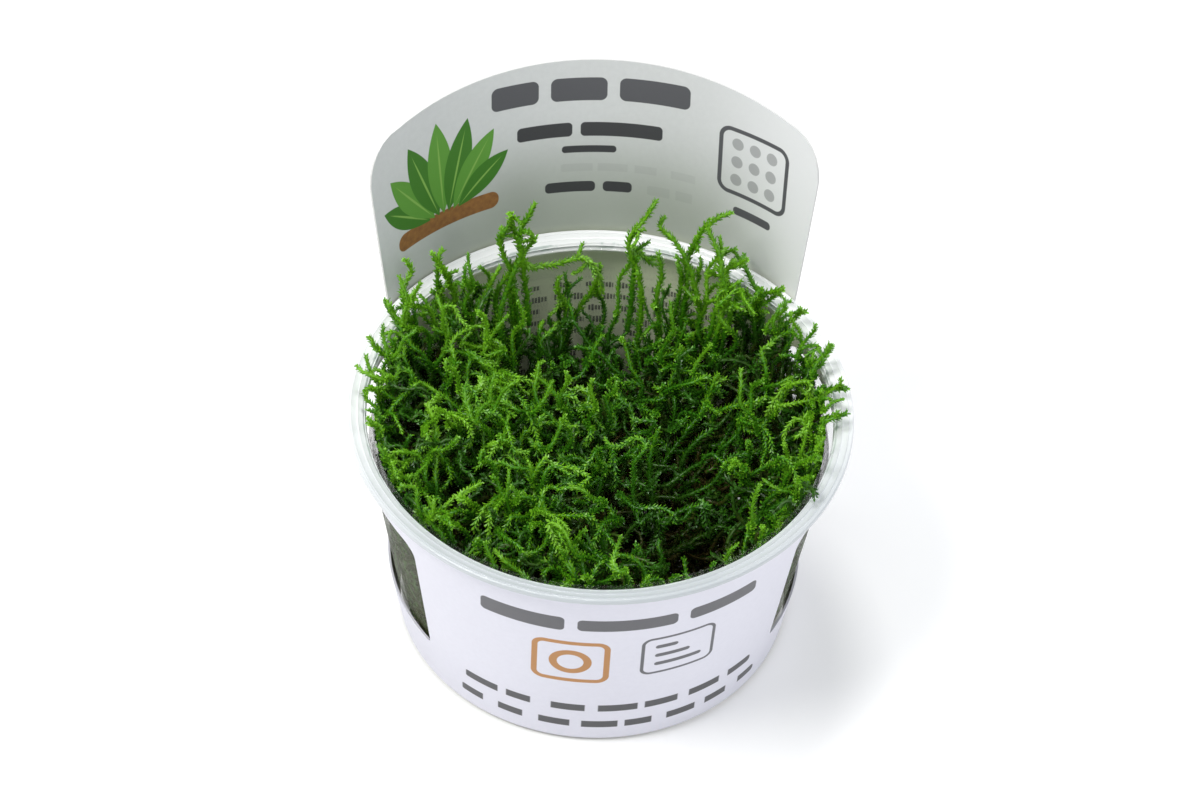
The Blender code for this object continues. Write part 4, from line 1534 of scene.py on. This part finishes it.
def add_uprights(rng, gathered, clump):
    """Thin shoots that stand free in front of the back wall, where the moss is thin."""
    middle = (clump[0] + clump[1]) / 2
    for _ in range(UPRIGHT_COUNT if abs(middle) < 46 else 0):
        azimuth = rng.uniform(max(clump[0], -UPRIGHT_REACH), min(clump[1], UPRIGHT_REACH))
        start = polar(azimuth, rng.uniform(18, 38) * MM, rng.uniform(14, 28) * MM)
        way = Vector((0, 0, 1)) + any_way(rng, 0.22)
        line = sway(rng, wander(rng, start, way, rng.uniform(22, 35) * MM, 0.09, 0.03), 0.8 * MM)
        tone = rng.random()
        gathered.add_shoot(line, youth_and_shade_along(line, 0.8), UPRIGHT_DENSITY, tone, rng.uniform(0.9, 1.15))
        if rng.random() < 0.6:
            add_shoot(gathered, fork(rng, line, rng.uniform(0.5, 0.85), 8 * MM, 0.4, 0.3), tone, 0.9)


def add_sprigs(rng, gathered, middle):
    """The listed sprigs that start in this clump's part of the ring."""
    for listed in SPRIGS:
        if abs((listed[0][0] - middle + 180) % 360 - 180) < HALF_CLUMP:
            knots = [polar(azimuth, radius * MM, height * MM) for azimuth, radius, height in listed]
            line = sprig_line(rng, knots)
            tone = rng.random()
            add_shoot(gathered, line, tone, SPRIG_THICKNESS)
            for _ in range(SPRIG_SIDES):
                side = fork(rng, line, rng.uniform(0.5, 0.97), rng.uniform(2.0, 5.0) * MM, 0.5, 0.35)
                add_shoot(gathered, side, tone, 1.05, 0.3)


def grow_clump(name, clump):
    rng = random.Random(name)
    gathered = Clump(name)
    for tip in clump[2]:
        add_branch(rng, gathered, main_line(rng, clump, tip), rng.random(), 1.05)
    if name != "moss_centre":
        add_sprigs(rng, gathered, (clump[0] + clump[1]) / 2)
        add_curtain(rng, gathered, clump)
        add_collar(rng, gathered, clump)
        add_uprights(rng, gathered, clump)
    if name == "moss_front_right":
        for listed in HOLLOW_STEMS:
            line = sprig_line(rng, [Vector(place) * MM for place in listed])
            add_branch(rng, gathered, line, rng.random(), 1.25)
    add_mat(rng, gathered, clump)
    add_undergrowth(rng, gathered, clump)
    count = round(clump[3] * LAYER_SHARE)
    add_layer(rng, gathered, clump, count, 7, (12, 22), (0.6, 0.95), False)
    add_layer(rng, gathered, clump, count, 0, (14, 28), (0.35, 0.85), True)
    return gathered.build(name + "_shoots")


moss_pieces = {name: grow_clump(name, clump) for name, clump in CLUMPS.items()}
for name, piece in moss_pieces.items():
    print(name, len(piece.data.polygons), "faces")
print("moss in all:", sum(len(piece.data.polygons) for piece in moss_pieces.values()), "faces")

# %% [markdown]
# The moss finish runs from brown old growth through deep green to yellow-green young tips, by the number
# that each corner keeps, which holds painted shade as well as youth. The leaves are wet, so they are fairly
# smooth and catch small glints.

# %% Moss finish
MOSS_STOPS = [
    (0.0, (0.130, 0.105, 0.030)),
    (0.12, (0.066, 0.112, 0.014)),
    (0.35, (0.030, 0.096, 0.006)),
    (0.6, (0.026, 0.132, 0.003)),
    (0.8, (0.054, 0.226, 0.003)),
    (1.0, (0.180, 0.440, 0.012)),
]
OLD_BROWN = (0.085, 0.058, 0.014)
moss, shader, wire = new_finish("flame moss", Specular_IOR_Level=0.5)
youth_and_shade = wire.node("ShaderNodeAttribute", output=2, attribute_name="youth_and_shade")
tone = wire.node("ShaderNodeAttribute", output=2, attribute_name="tone")
place = wire.place()
patches = wire.noise(place, 110.0)
amount = youth_and_shade + (patches - 0.5) * 0.3 + (tone - 0.5) * 0.14
colour = wire.node("ShaderNodeValToRGB", {0: amount}, stops=MOSS_STOPS)
withered = tone.rise(0.66, 0.8) * youth_and_shade.rise(0.5, 0.25) * patches.rise(0.42, 0.55)
feed((withered * 0.8).paint(colour, OLD_BROWN), shader, "Base Color")
feed(0.28 + 0.25 * patches, shader, "Roughness")
for name, piece in moss_pieces.items():
    piece.data.materials.append(moss)
    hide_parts(name)
    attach(piece, "root")
print("moss nodes:", len(moss.node_tree.nodes))

# %% [markdown]
# Last, the box of the frame and the box of the dressed model are written down side by side, to show that
# the looks haven't changed the object's size.

# %% Sizes and the end
boxes = [[list(corner) for corner in box_pair] for box_pair in (cad_box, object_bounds())]
print("sizes:", boxes)
